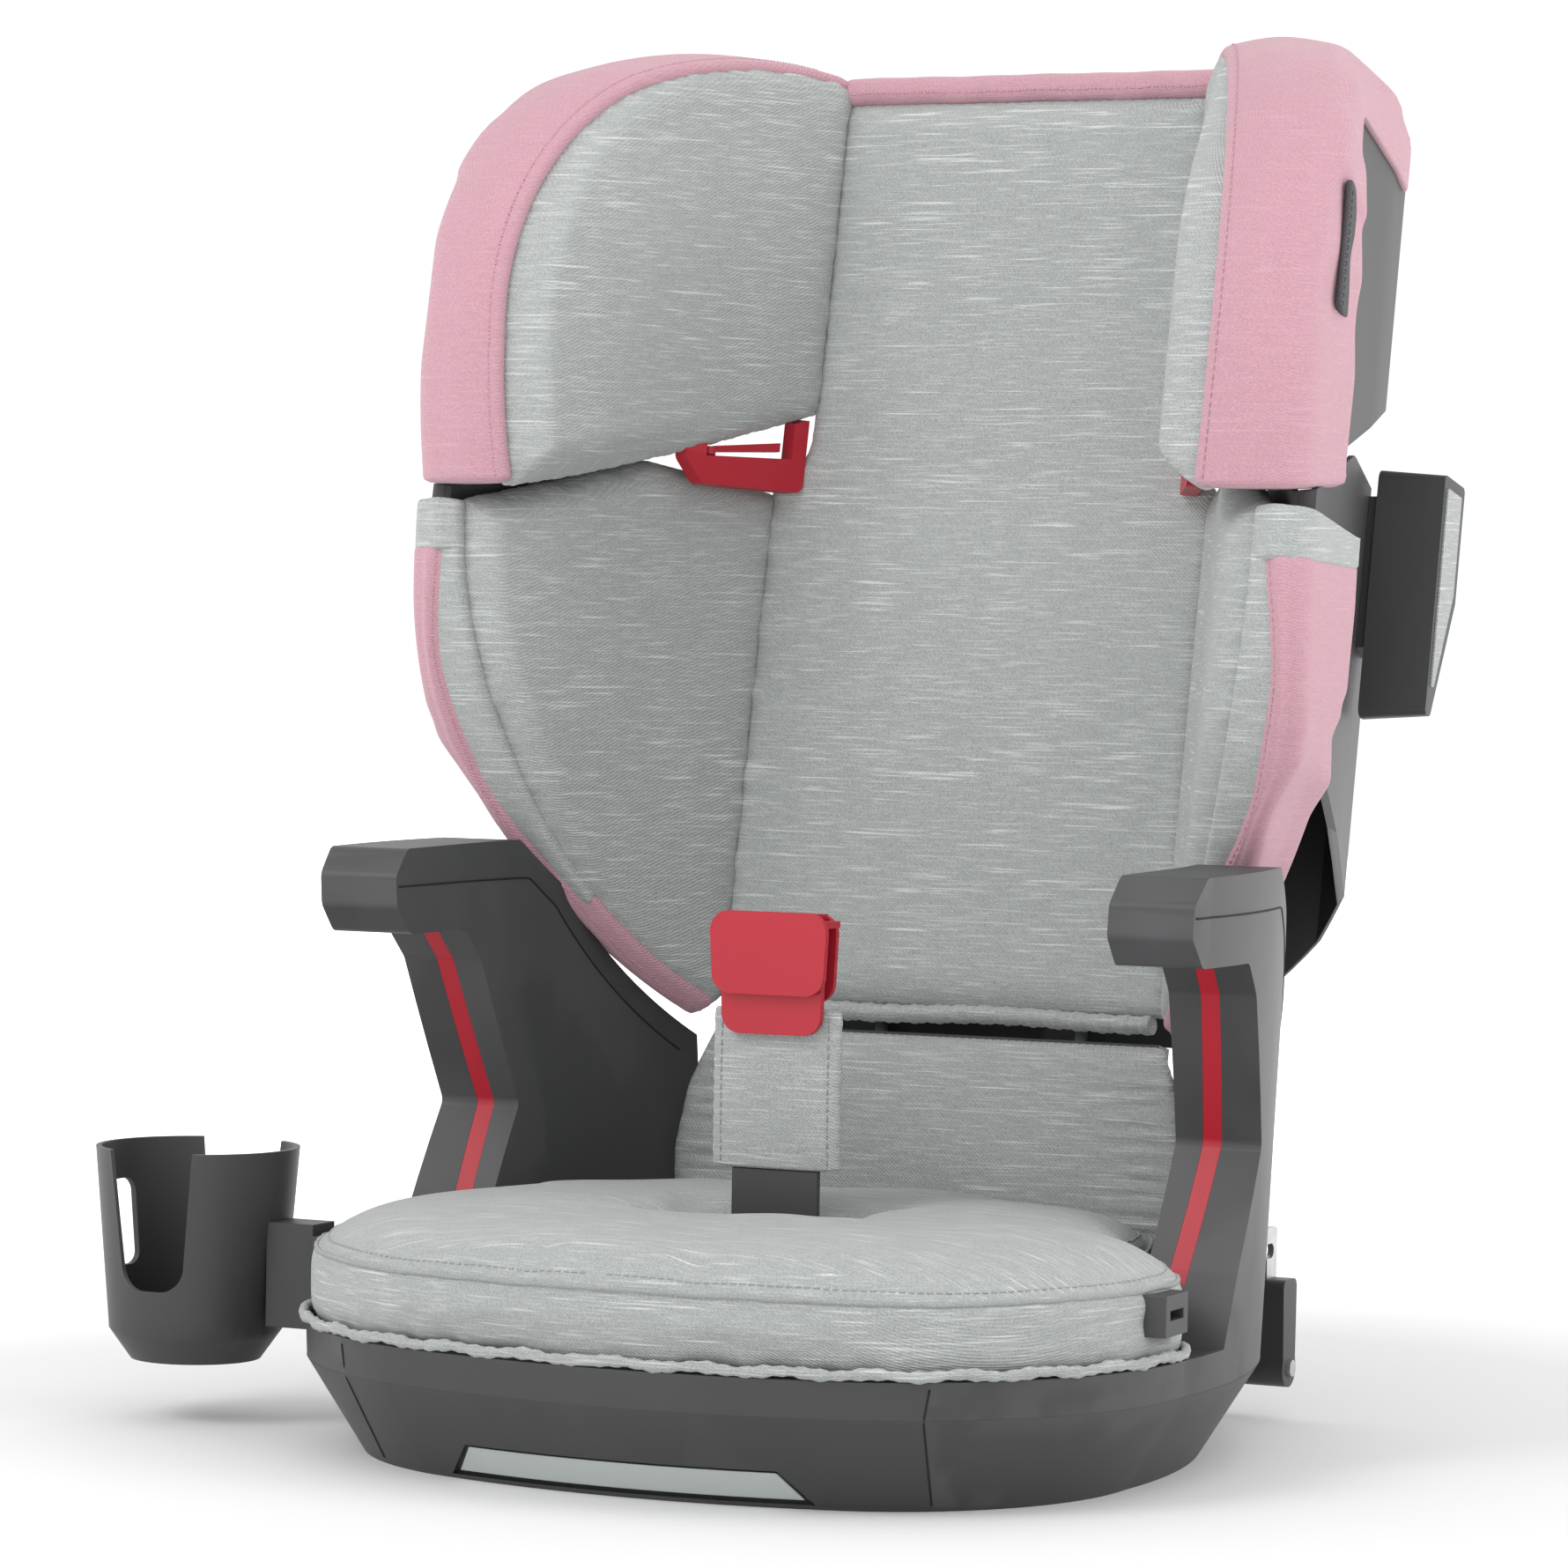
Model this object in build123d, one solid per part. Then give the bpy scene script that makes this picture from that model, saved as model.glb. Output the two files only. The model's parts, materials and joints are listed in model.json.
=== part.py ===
"""High-back booster seat: base with armrests, reclining backrest, sliding headrest, cup holder and side pod.

Millimetres. +Z is up, the seat faces -Y and +X is the occupant's left. The origin lies on the floor under the
middle of the base. Backrest and headrest are drawn upright in the backrest's own frame, where +Y runs to the
rear and +Z up the back, and BACK then tilts them into place.
"""
from build123d import *
import os
from math import hypot

# ---------------------------------------------------------------- driving dimensions
BACK = Location((0, 84, 100), (-12, 0, 0))  # foot of the padded back, leaning 12 degrees
SKIN = 3                          # wall thickness of the mouldings
GAP = 0.4                         # clearance between parts that slide or lift
WIDE = (-260, 260)                # wider than the base, for cutting boxes

# Base: half outline of the rim as arcs (start, middle, end), from the front arc to the rear line
RIM_FRONT_Y = -250
RIM_ARCS = [((110, -233), (173, -187), (205, -95)), ((205, -95), (198, 12), (155, 114)),
            ((155, 114), (133, 142), (95, 152))]
CREASE_Z, RIM_Z = 42, 58          # the side turns in below the crease
PAN_TOP = 57                      # the armrest columns stand on the seat pan
LOW_TAPER, HIGH_TAPER = 32, 2.5
WALL_TOP, WALL_FLARE = 275, 10    # outlines above the rim are stated at this height
FASCIA_X_TOP, FASCIA_X_FOOT, FASCIA_REAR_Y = 140, 131, -120
SHELL_REAR_Y = 112                # side shells and armrests end here

# Armrest: side view (y, z), and plan of the seat space and of the seam between the arm's two halves
ARM_FRONT = [(-52, PAN_TOP), (-38, 90), (-6, 143), (-34, 212), (-48, 227), (-101, 227), (-113, 240),
             (-113, 254), (-101, 266), (2, 267), (31, 246)]
ARM_REAR = ((31, 246), (78, 196), (SHELL_REAR_Y, 170))
SPACE_ARC = ((175, -60), (168, 20), (134, 116))
SPACE_TAPER = 3
SEAM_ARC, SEAM_TAPER = ((196, -60), (190, 20), (152, 116)), 5
CAP_Z, CAP_DEPTH = 249, 11
STRIPE_WIDTH, STRIPE_DEPTH, STRIPE_Z = 9, 2.6, (84, 226)

# Seat
CUSHION_FRONT_Y = -252
CUSHION_ARCS = [((112, -236), (176, -190), (207, -108)), ((207, -108), (196, -72), (160, -60)),
                ((160, -60), (155, -5), (128, 74))]
CUSHION_TOP_Z = 104
COVER = 4
STRAP_Y, STRAP_Z = -73, 96        # pivot of the belt-clip strap
SOCKET_Y, SOCKET_Z = -113, 80

# Recline pivot and lower-anchor bar
PIVOT_Y, PIVOT_Z, PIN_RADIUS = 128, 46, 5
LEG_X = (44, 60)
BAR_Y, BAR_Z, BAR_RADIUS = 148, 24, 4
CONNECTOR_X = (143, 165)

# Backrest, in its own frame: crease and tip of the wings' inner face, then the outer outline
TORSO_CREASE_X, TORSO_TIP = 115, (198, -160)
TORSO_OUTER = [(222, -146), (208, -60), (195, 0), (186, 38), (172, 50)]
TORSO_EDGE = [((0, 84), (-70, 123), (-122, 184)), ((-122, 184), (-150, 240), (-162, 303))]
TORSO_SIDE = ((105, 84), (157, 122), (198, 180))
HEAD_CREASE_X, HEAD_TIP = 96, (176, -180)
HEAD_OUTER = [(200, -178), (222, -158), (212, -110), (199, -20), (190, 24), (176, 40)]
HEAD_EDGE = [((-181, 375), (-168, 460), (-120, 518)), ((-120, 518), (-62, 544), (0, 553))]
HEAD_LOW = [(-200, 292), (60, 404.8)]    # underside of the head wings, as (rearward, up)
HEAD_TOP = [(60, 543), (0, 553), (-200, 553)]
HEAD_CORNER = ((223, 476), (198, 515), (138, 554))   # rounded upper corner in front view, as (x, up)
WING_GAP, WING_TOP_Z = 4.5, 346   # torso wings stop this far below the head wings, and at this height
TORSO_TOP = [(-200, 296), (60, 342.4)]   # top of the torso's middle and of its shell
HEAD_PAD_Z = 337                  # the head's centre panel ends here
COVER_DEPTH, FOAM_DEPTH, LINER_DEPTH = 8, 17, 20
EDGE_ROLL = 14                    # depth of the trim along a wing's front edge

# Height adjuster, in the backrest frame
CARRIER_X, CARRIER_Y, CARRIER_Z = 70, (26, 34), (128, 470)
RAIL_X, RAIL_Z = (64, 84), (128, 328)
BOLT_Z, NOTCH_PITCH = 150, 20

# Cup holder, belt clip and pod
CUP_X, CUP_Y, CUP_RADIUS, CUP_FOOT_RADIUS, CUP_WALL = -276, -113, 47, 40, 2.6
CUP_FLOOR_Z, CUP_RIM_Z = 28, 126
PAD_Z, CLIP_TOP_Z = (127, 200), 242
DOCK_X, DOCK_Y, DOCK_Z = 200, 7, 305   # face and centre of the pod dock, in the backrest frame
POD_DEPTH = 32
POD_OUTLINE = [(-7, 236), (4, 236), (27, 296), (27, 354), (-7, 354)]


# ---------------------------------------------------------------- helpers
def box(x, y, z):
    """Box from three (low, high) pairs."""
    return Pos(x[0], y[0], z[0]) * Box(x[1] - x[0], y[1] - y[0], z[1] - z[0], align=(Align.MIN,) * 3)


def polygon(*points):
    return Polyline(*points, close=True)


def rounded(radius, *points):
    return FilletPolyline(*points, radius=radius, close=True)


def side_prism(edges, low=-300, high=300):
    """Prism along X from a closed outline drawn as (y, z)."""
    return Pos(low, 0, 0) * extrude(make_face(Plane.YZ * edges), amount=high - low, dir=(1, 0, 0))


def front_prism(edges, low=-300, high=300):
    """Prism along Y from a closed outline drawn as (x, z)."""
    return Pos(0, low, 0) * extrude(make_face(Plane.XZ * edges), amount=high - low, dir=(0, 1, 0))


def rod(radius, x, y, z):
    """Round bar along X."""
    return Pos((x[0] + x[1]) / 2, y, z) * Rot(0, 90, 0) * Cylinder(radius, x[1] - x[0])


def peg(radius, x, y, z):
    """Round bar along Y."""
    return Pos(x, (y[0] + y[1]) / 2, z) * Rot(90, 0, 0) * Cylinder(radius, y[1] - y[0])


def post(radius, x, y, z):
    """Round bar along Z."""
    return Pos(x, y, (z[0] + z[1]) / 2) * Cylinder(radius, z[1] - z[0])


def other_side(shape):
    return mirror(shape, about=Plane.YZ)


def both(shape):
    return [shape, other_side(shape)]


def group(*shapes):
    return Compound(children=[solid for shape in shapes for solid in shape.solids()])


def lean(shape):
    """Moves a shape drawn in the backrest frame into place."""
    solids = [BACK * solid for solid in shape.solids()]
    return solids[0] if len(solids) == 1 else Compound(children=solids)


def mirrored_face(half):
    """Face symmetric about X = 0, from its +X half as a list of points from front to rear."""
    return make_face(polygon(*half, *[(-x, y) for x, y in reversed(half)]))


def arc_face(arcs, front_y, inset=0.0):
    """Face symmetric about X = 0: an arc across the front, side arcs, and a straight rear."""
    start, end = arcs[0][0], arcs[-1][-1]
    edges = ThreePointArc((-start[0], start[1]), (0, front_y), start) + Line(end, (-end[0], end[1]))
    for arc in arcs:
        edges += ThreePointArc(*arc)
        edges += ThreePointArc(*[(-x, y) for x, y in arc])
    face = make_face(edges)
    return offset(face, -inset) if inset else face


def taper_down(face, z, height, angle):
    """Solid below a face at height z whose sides lean inwards on the way down."""
    return Pos(0, 0, z) * mirror(extrude(face, height, taper=angle), about=Plane.XY)


# ---------------------------------------------------------------- base
def base_form(inset):
    """Whole outside form of the base and its side walls."""
    low = taper_down(arc_face(RIM_ARCS, RIM_FRONT_Y, inset), CREASE_Z, CREASE_Z, LOW_TAPER)
    wide = arc_face(RIM_ARCS, RIM_FRONT_Y, inset - WALL_FLARE)
    return low + taper_down(wide, WALL_TOP, WALL_TOP - CREASE_Z, HIGH_TAPER)


def beside_arc(arc, shift, taper, inner_x=None):
    """Region between the two mirrored copies of an arc that is continued straight to front and rear."""
    start, middle, end = [(x + shift, y) for x, y in arc]
    half = [Line((start[0], -300), start), ThreePointArc(start, middle, end), Line(end, (end[0], 300))]
    edges = Line((-start[0], -300), (start[0], -300)) + Line((-end[0], 300), (end[0], 300))
    for edge in half:
        edges += edge
        edges += mirror(edge, about=Plane.YZ)
    return taper_down(make_face(edges), WALL_TOP, WALL_TOP - 40, taper)


def arm_view(inset=0.0):
    """Side view of the armrest and its column, drawn in from the outline by inset."""
    edges = FilletPolyline(*ARM_FRONT, radius=6) + ThreePointArc(*ARM_REAR)
    edges += Polyline(ARM_REAR[-1], (SHELL_REAR_Y, PAN_TOP), ARM_FRONT[0])
    face = make_face(edges)
    return offset(face, -inset, kind=Kind.INTERSECTION) if inset else face


def view_prism(face):
    return Pos(100, 0, 0) * extrude(Plane.YZ * face, amount=150)


def cap_zone():
    """Everything above the seam under the armrest's cap."""
    rear = [(y - 4, z - CAP_DEPTH) for y, z in ARM_REAR]
    edges = Polyline((-140, CAP_Z), (8, CAP_Z), rear[0]) + ThreePointArc(*rear)
    edges += Polyline(rear[-1], (140, rear[-1][1]), (140, 300), (-140, 300), (-140, CAP_Z))
    return side_prism(edges, 90, 250)


def make_arm(outer, inner):
    """Outer half, inner half, cap and stripe of the armrest on +X."""
    wall = (outer - beside_arc(SPACE_ARC, 0, SPACE_TAPER)) & view_prism(arm_view())
    core = (inner - beside_arc(SPACE_ARC, SKIN, SPACE_TAPER)) & view_prism(arm_view(SKIN))
    band = beside_arc(SEAM_ARC, STRIPE_WIDTH / 2, SEAM_TAPER)
    band -= beside_arc(SEAM_ARC, -STRIPE_WIDTH / 2, SEAM_TAPER)
    front = view_prism(arm_view()) - Pos(0, STRIPE_DEPTH, 0) * view_prism(arm_view())
    stripe = wall & band & front & box((100, 240), (-60, 20), STRIPE_Z)
    shell = wall - core
    cap = shell & cap_zone()
    lower = shell - cap_zone() - stripe
    within = beside_arc(SEAM_ARC, 0, SEAM_TAPER)
    return lower - within, lower & within, cap, stripe


def make_tub(outer, inner):
    """Load-bearing tray with its floor, ribs, tail and the lugs for the recline pins and anchor bar."""
    tray = inner & box(WIDE, (-260, 130), (0, PAN_TOP - SKIN))
    tail = outer & box(WIDE, (SHELL_REAR_Y + GAP, 200), (0, RIM_Z))
    floor = outer & box(WIDE, (-260, 200), (0, 2))
    hollow = base_form(SKIN + 4) & box(WIDE, (-260, 200), (SKIN, RIM_Z))
    tub = tray + tail + floor - hollow
    for x in (-95, -25, 25, 95):
        tub += box((x - 1.5, x + 1.5), (-190, 100), (2, 45))
    for side in (-1, 1):
        for low, high in ((36, 43.6), (60.4, 68)):
            x = sorted((side * low, side * high))
            tub += box(x, (PIVOT_Y - 12, PIVOT_Y + 12), (2, PIVOT_Z)) + rod(12, x, PIVOT_Y, PIVOT_Z)
        x = sorted((side * 100, side * 108))
        tub += box(x, (116, BAR_Y), (BAR_Z - 9, BAR_Z + 9)) + rod(9, x, BAR_Y, BAR_Z)
    for y, z, radius in ((PIVOT_Y, PIVOT_Z, PIN_RADIUS), (BAR_Y, BAR_Z, BAR_RADIUS)):
        tub -= rod(radius, (-120, 120), y, z)
    return tub


def make_pan(inner):
    """Seat pan with the upstand that carries the rear fabric panel."""
    plate = (inner & box(WIDE, (-260, 96), (PAN_TOP - SKIN, PAN_TOP))) - beside_pan()
    upstand = BACK * box((-112, 112), (8, 22), (-44, 80))
    return plate + upstand


def beside_pan():
    """Room for the armrest walls at both rear corners of the pan."""
    return box(WIDE, (-262, 96), (50, 60)) & (base_form(0) - base_form(SKIN))


def make_seat():
    """Seat cover, the foam inside it, and the grommets of the two cup-holder sockets."""
    outline = arc_face(CUSHION_ARCS, CUSHION_FRONT_Y)
    low_z = RIM_Z + 0.5
    cover = Pos(0, 0, low_z) * extrude(outline, CUSHION_TOP_Z - low_z)
    foam = Pos(0, 0, low_z) * extrude(offset(outline, -COVER), CUSHION_TOP_Z - low_z - COVER)
    sockets = [Pos(x, SOCKET_Y, SOCKET_Z) * Box(18, 26, 18) for x in (-199.5, 199.5)]
    room = box((-37, 37), (STRAP_Y - 26, STRAP_Y + 14), (RIM_Z, 110))
    cover = cover - foam - room
    foam = foam - room
    for socket in sockets:
        cover, foam = cover - socket, foam - socket
    slots = box((-230, 230), (SOCKET_Y - 7.7, SOCKET_Y + 7.7), (SOCKET_Z - 2, SOCKET_Z + 2))
    slots -= box((-191, 191), (-150, 0), (0, 200))
    grommets = [socket - slots for socket in sockets]
    return cover, foam, group(*grommets)


def make_base():
    outer, inner = base_form(0), base_form(SKIN)
    skin = (outer - inner) & box(WIDE, (-260, SHELL_REAR_Y), (2, RIM_Z))
    fascia_view = [(-FASCIA_X_FOOT, 0), (-FASCIA_X_TOP, RIM_Z), (FASCIA_X_TOP, RIM_Z), (FASCIA_X_FOOT, 0)]
    wedge = front_prism(polygon(*fascia_view), -260, FASCIA_REAR_Y)
    notch = front_prism(polygon((-89, -1), (-74, 17), (74, 17), (89, -1)), -260, -200)
    insert_view = front_prism(polygon((-82, 4), (-73, 16), (73, 16), (82, 4)), -260, -200)
    insert = (base_form(1) - base_form(SKIN)) & insert_view
    arm_outer, arm_inner, cap, stripe = make_arm(outer, inner)
    side_shell = ((skin - wedge) & box((20, 260), (-260, SHELL_REAR_Y), (0, RIM_Z))) + arm_outer
    feet = [Pos(x, y, 0.9) * Box(60, 14, 1.8) for x in (-100, 100) for y in (-150, 80)]
    places = [(x, y) for x in (-130, 130) for y in (-60, 10)] + [(-60, -180), (60, -180)]
    screws = [post(4, x, y, (0, 2.4)) for x, y in places]
    tub = make_tub(outer, inner)
    for tool in feet + screws:
        tub -= tool
    cover, foam, grommets = make_seat()
    flap = BACK * box((-112, 112), (0, 7.6), (-22, 80))
    cheeks = [box(x, (STRAP_Y - 8, STRAP_Y + 8), (PAN_TOP, STRAP_Z + 4)) for x in ((-31, -27.5), (27.5, 31))]
    bracket = box((-31, 31), (STRAP_Y - 8, STRAP_Y + 8), (PAN_TOP, RIM_Z + 3)) + cheeks[0] + cheeks[1]
    return {
        "base_tub": tub, "front_fascia": (skin & wedge) - notch, "front_insert": insert,
        "side_shell_left": side_shell, "side_shell_right": other_side(side_shell),
        "arm_inner_left": arm_inner, "arm_inner_right": other_side(arm_inner),
        "arm_cap_left": cap, "arm_cap_right": other_side(cap), "arm_stripes": group(*both(stripe)),
        "seat_pan": make_pan(inner), "seat_foam": foam, "seat_cover": cover, "rear_flap": flap,
        "cup_sockets": grommets, "rubber_feet": group(*feet), "base_screws": group(*screws),
        "recline_pins": group(*[rod(PIN_RADIUS, x, PIVOT_Y, PIVOT_Z) for x in ((36, 68), (-68, -36))]),
        "anchor_bar": rod(BAR_RADIUS, (-167, 167), BAR_Y, BAR_Z),
        "strap_bracket": bracket + rod(3, (-31, 31), STRAP_Y, STRAP_Z),
    }


# ---------------------------------------------------------------- backrest and headrest
def wing_corner(crease_x, tip, depth):
    """Crease of the wing's inner face moved back by depth, and the direction from crease to tip."""
    dx, dy = tip[0] - crease_x, tip[1]
    along = (dx / hypot(dx, dy), dy / hypot(dx, dy))
    return (crease_x + depth * (1 - along[0]) / -along[1], depth), along


def layer(crease_x, tip, front, back, reach=230):
    """Layer of the padding between two depths behind the centre panel and both wings."""
    near, along = wing_corner(crease_x, tip, front)
    far, _ = wing_corner(crease_x, tip, back)
    ends = [(x + along[0] * reach, y + along[1] * reach) for x, y in (near, far)]
    return plan_slab(mirrored_face([near, ends[0], ends[1], far]))


def plan_slab(face):
    return extrude(face, 620)


def behind(arcs, shift, low_z, high_z):
    """Everything to the rear of a wing's front edge moved back by shift."""
    arcs = [[(y + shift, z) for y, z in arc] for arc in arcs]
    start, end = arcs[0][0], arcs[-1][-1]
    edges = Polyline(end, (end[0], high_z), (80, high_z), (80, low_z), (start[0], low_z), start)
    for arc in arcs:
        edges += ThreePointArc(*arc)
    return side_prism(edges)


def padded_back(outer_face, crease_x, tip, edge, limits, low_z, high_z):
    """Cover, foam, shell and edge rolls of one padded section; limits trims its top, bottom and sides."""
    form = plan_slab(outer_face) & limits & behind(edge, 0, low_z, high_z)
    inner_form = plan_slab(offset(outer_face, -SKIN))
    core = form & behind(edge, EDGE_ROLL, low_z, high_z)
    cover = core & layer(crease_x, tip, -2, COVER_DEPTH)
    foam = core & layer(crease_x, tip, COVER_DEPTH, FOAM_DEPTH)
    shell = core - inner_form - layer(crease_x, tip, -2, LINER_DEPTH)
    roll = (form - behind(edge, EDGE_ROLL, low_z, high_z)) & box((crease_x + 3, 300), (-300, 60), (0, 620))
    return core, cover, foam, shell, roll


def wing_zone():
    """Plan of both torso wings forward of the centre panel, where they may rise to the head wings."""
    half = [(TORSO_CREASE_X + 2, 0), (TORSO_TIP[0] - 10, -200), (240, -200), (240, 0)]
    return make_face(polygon(*half)) + make_face(polygon(*[(-x, y) for x, y in reversed(half)]))


def make_torso():
    corner, _ = wing_corner(TORSO_CREASE_X, TORSO_TIP, 0)
    outer_face = mirrored_face([corner, TORSO_TIP, *TORSO_OUTER])
    start, _, end = TORSO_SIDE
    low_arc = ThreePointArc(*TORSO_SIDE)
    edges = low_arc + mirror(low_arc, about=Plane.YZ)
    edges += Line((-start[0], start[1]), start)
    edges += Polyline(end, (226, 215), (226, 420), (-226, 420), (-226, 215), (-end[0], end[1]))
    middle_top = side_prism(polygon(*TORSO_TOP, (60, 60), (-200, 60)))
    wing_top = side_prism(polygon(*[(y, z - WING_GAP) for y, z in HEAD_LOW], (60, 60), (-200, 60)))
    wing_top &= plan_slab(wing_zone()) & box((-300, 300), (-300, 60), (0, WING_TOP_Z))
    limits = front_prism(edges) & (middle_top + wing_top)
    wings = (TORSO_CREASE_X, TORSO_TIP, TORSO_EDGE)
    core, cover, foam, shell, roll = padded_back(outer_face, *wings, limits, 60, 420)
    hem = rod(4, (-104, 104), 4, 88.5)
    cover, foam = cover - hem, foam - hem
    liner = core & layer(TORSO_CREASE_X, TORSO_TIP, FOAM_DEPTH, LINER_DEPTH)
    liner &= box((-300, 300), (-300, 60), (96, 330))
    dock = box((170, DOCK_X), (DOCK_Y - 12, DOCK_Y + 14), (DOCK_Z - 36, DOCK_Z + 36)) - plan_slab(outer_face)
    dock -= rod(8, (DOCK_X - 5, DOCK_X + 1), DOCK_Y, DOCK_Z)
    return cover, foam, shell, roll, hem, liner, dock


def make_backrest():
    cover, foam, shell, roll, hem, liner, dock = make_torso()
    pivot = (BACK.inverse() * Pos(0, PIVOT_Y, PIVOT_Z)).position
    leg_view = polygon((31, 124), (47, 124), (47, -8), (64, -36), (60, -52), (46, -52), (31, -24))
    leg = side_prism(leg_view, *LEG_X) + rod(11, LEG_X, pivot.Y, pivot.Z)
    leg -= rod(PIN_RADIUS + 0.05, (0, 100), pivot.Y, pivot.Z)
    rail = box(RAIL_X, (LINER_DEPTH, 47), RAIL_Z) - box((50, CARRIER_X + GAP), (25.6, 34.4), (100, 400))
    rack = box((-18, 18), (38, 47), (140, 326))
    for notch in range(9):
        z = BOLT_Z + notch * NOTCH_PITCH
        rack -= box((-8, 8), (37, 44), (z - 5, z + 5))
    leg_x = (LEG_X[0] + LEG_X[1]) / 2
    screws = [peg(2.2, x, (42, 51.5), z) for x in (-leg_x, leg_x) for z in (96, 114)]
    legs = group(*both(leg))
    legs = group(*[solid - screws[0] - screws[1] - screws[2] - screws[3] for solid in legs.solids()])
    for screw in screws:
        shell -= screw
    parts = {
        "back_shell": shell, "back_liner": liner, "torso_foam": foam, "torso_cover": cover,
        "torso_trim_left": roll, "torso_trim_right": other_side(roll), "torso_hem": hem,
        "recline_legs": legs, "leg_screws": group(*screws), "head_rails": group(*both(rail)),
        "height_rack": rack, "pod_docks": group(*both(dock)),
    }
    return {name: lean(shape) for name, shape in parts.items()}


def make_guide():
    """Red belt guide on +X below the headrest, with the gate's pin, and the sprung gate."""
    corner, along = wing_corner(HEAD_CREASE_X, HEAD_TIP, 0)
    inward = (-along[1], along[0], 0)
    plane = Plane(origin=(*corner, 0), x_dir=(*along, 0), z_dir=inward)
    sign = 1 if plane.y_dir.Z > 0 else -1

    def at(points):
        """Points (along the wing, up) in the plane's own axes."""
        return [(x, sign * z) for x, z in points]

    def slab(edges, low, high):
        """Plate between two depths behind the wing's face."""
        return extrude(plane.offset(low) * make_face(edges), high - low)

    frame = slab(rounded(5, *at([(0, 342), (64, 333), (76, 344), (76, 400), (0, 400)])), 3, 11)
    frame -= slab(polygon(*at([(9, 357), (63, 347), (63, 410), (9, 410)])), 2, 12)
    (front_y, front_z), (rear_y, rear_z) = HEAD_LOW
    below_view = [(front_y, front_z - 1), (rear_y, rear_z - 1), (rear_y, 300), (front_y, 270)]
    below_head = side_prism(polygon(*below_view))
    hinge = plane.location * Pos(58, 0, 7)
    knuckle_z = (348.6, 352.4)
    gate_bar = slab(polygon(*at([(15, 359.5), (58, 350), (58, 353), (15, 364)])), 5.5, 8.5)
    axis = hinge.position
    knuckle = post(3, axis.X, axis.Y, knuckle_z)
    pin = post(1.5, axis.X, axis.Y, (344, knuckle_z[1]))
    hole = post(1.55, axis.X, axis.Y, (330, 370))
    return (frame & below_head) + pin, gate_bar + knuckle - hole


def make_headrest():
    corner, _ = wing_corner(HEAD_CREASE_X, HEAD_TIP, 0)
    outer_face = mirrored_face([corner, HEAD_TIP, *HEAD_OUTER])
    corner_arc = ThreePointArc(*HEAD_CORNER)
    front_view = corner_arc + mirror(corner_arc, about=Plane.YZ)
    (wide, low_z), _, (narrow, high_z) = HEAD_CORNER
    front_view += Line((narrow, high_z), (-narrow, high_z))
    front_view += Polyline((wide, low_z), (wide, 250), (-wide, 250), (-wide, low_z))
    limits = side_prism(polygon(*HEAD_LOW, *HEAD_TOP)) & front_prism(front_view)
    edge = [((-168, 306), (-176.5, 340), HEAD_EDGE[0][0]), *HEAD_EDGE]
    _, cover, foam, shell, roll = padded_back(outer_face, HEAD_CREASE_X, HEAD_TIP, edge, limits, 250, 600)
    cover += box((-88, 88), (0, COVER_DEPTH), (HEAD_PAD_Z, 390))
    bosses = [(side * 45, z) for side in (-1, 1) for z in (420, 455)]
    carrier = box((-CARRIER_X, CARRIER_X), CARRIER_Y, CARRIER_Z)
    screws = [peg(2.2, x, (28, 42), z) for x, z in bosses]
    for (x, z), screw in zip(bosses, screws):
        carrier = carrier + peg(6, x, (30, 37), z) - screw
        shell -= screw
    carrier -= peg(4.05, 0, (20, 40), BOLT_Z)
    shell -= box((-10, 16), (36, 41), (476, 496))
    lever = front_prism(rounded(8, (-45, 462), (45, 462), (45, 498), (-45, 498)), 40.4, 50)
    lever += box((-8, 14), (21, 41), (478, 486)) + box((8, 14), (21, 25.5), (158, 486))
    guide, gate = make_guide()
    parts = {
        "head_shell": shell, "head_carrier": carrier, "head_screws": group(*screws), "head_foam": foam,
        "head_cover": cover, "head_trim_left": roll, "head_trim_right": other_side(roll),
        "belt_guides": group(*both(guide)), "side_tag": make_tag(),
        "belt_gate_left": gate, "belt_gate_right": other_side(gate),
        "height_lever": lever, "lock_bolt": peg(4, 0, (24, 37.6), BOLT_Z),
    }
    return {name: lean(shape) for name, shape in parts.items()}


def make_tag():
    """Plain woven tab standing on the outside of the left wing."""
    (x0, y0), (x1, y1) = HEAD_OUTER[1], HEAD_OUTER[2]
    share = (0.35, 0.75)
    low = [(x0 + (x1 - x0) * s, y0 + (y1 - y0) * s) for s in share]
    face = make_face(polygon(low[0], low[1], (low[1][0] + 2, low[1][1]), (low[0][0] + 2, low[0][1])))
    return Pos(0, 0, 392) * extrude(face, 60)


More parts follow.
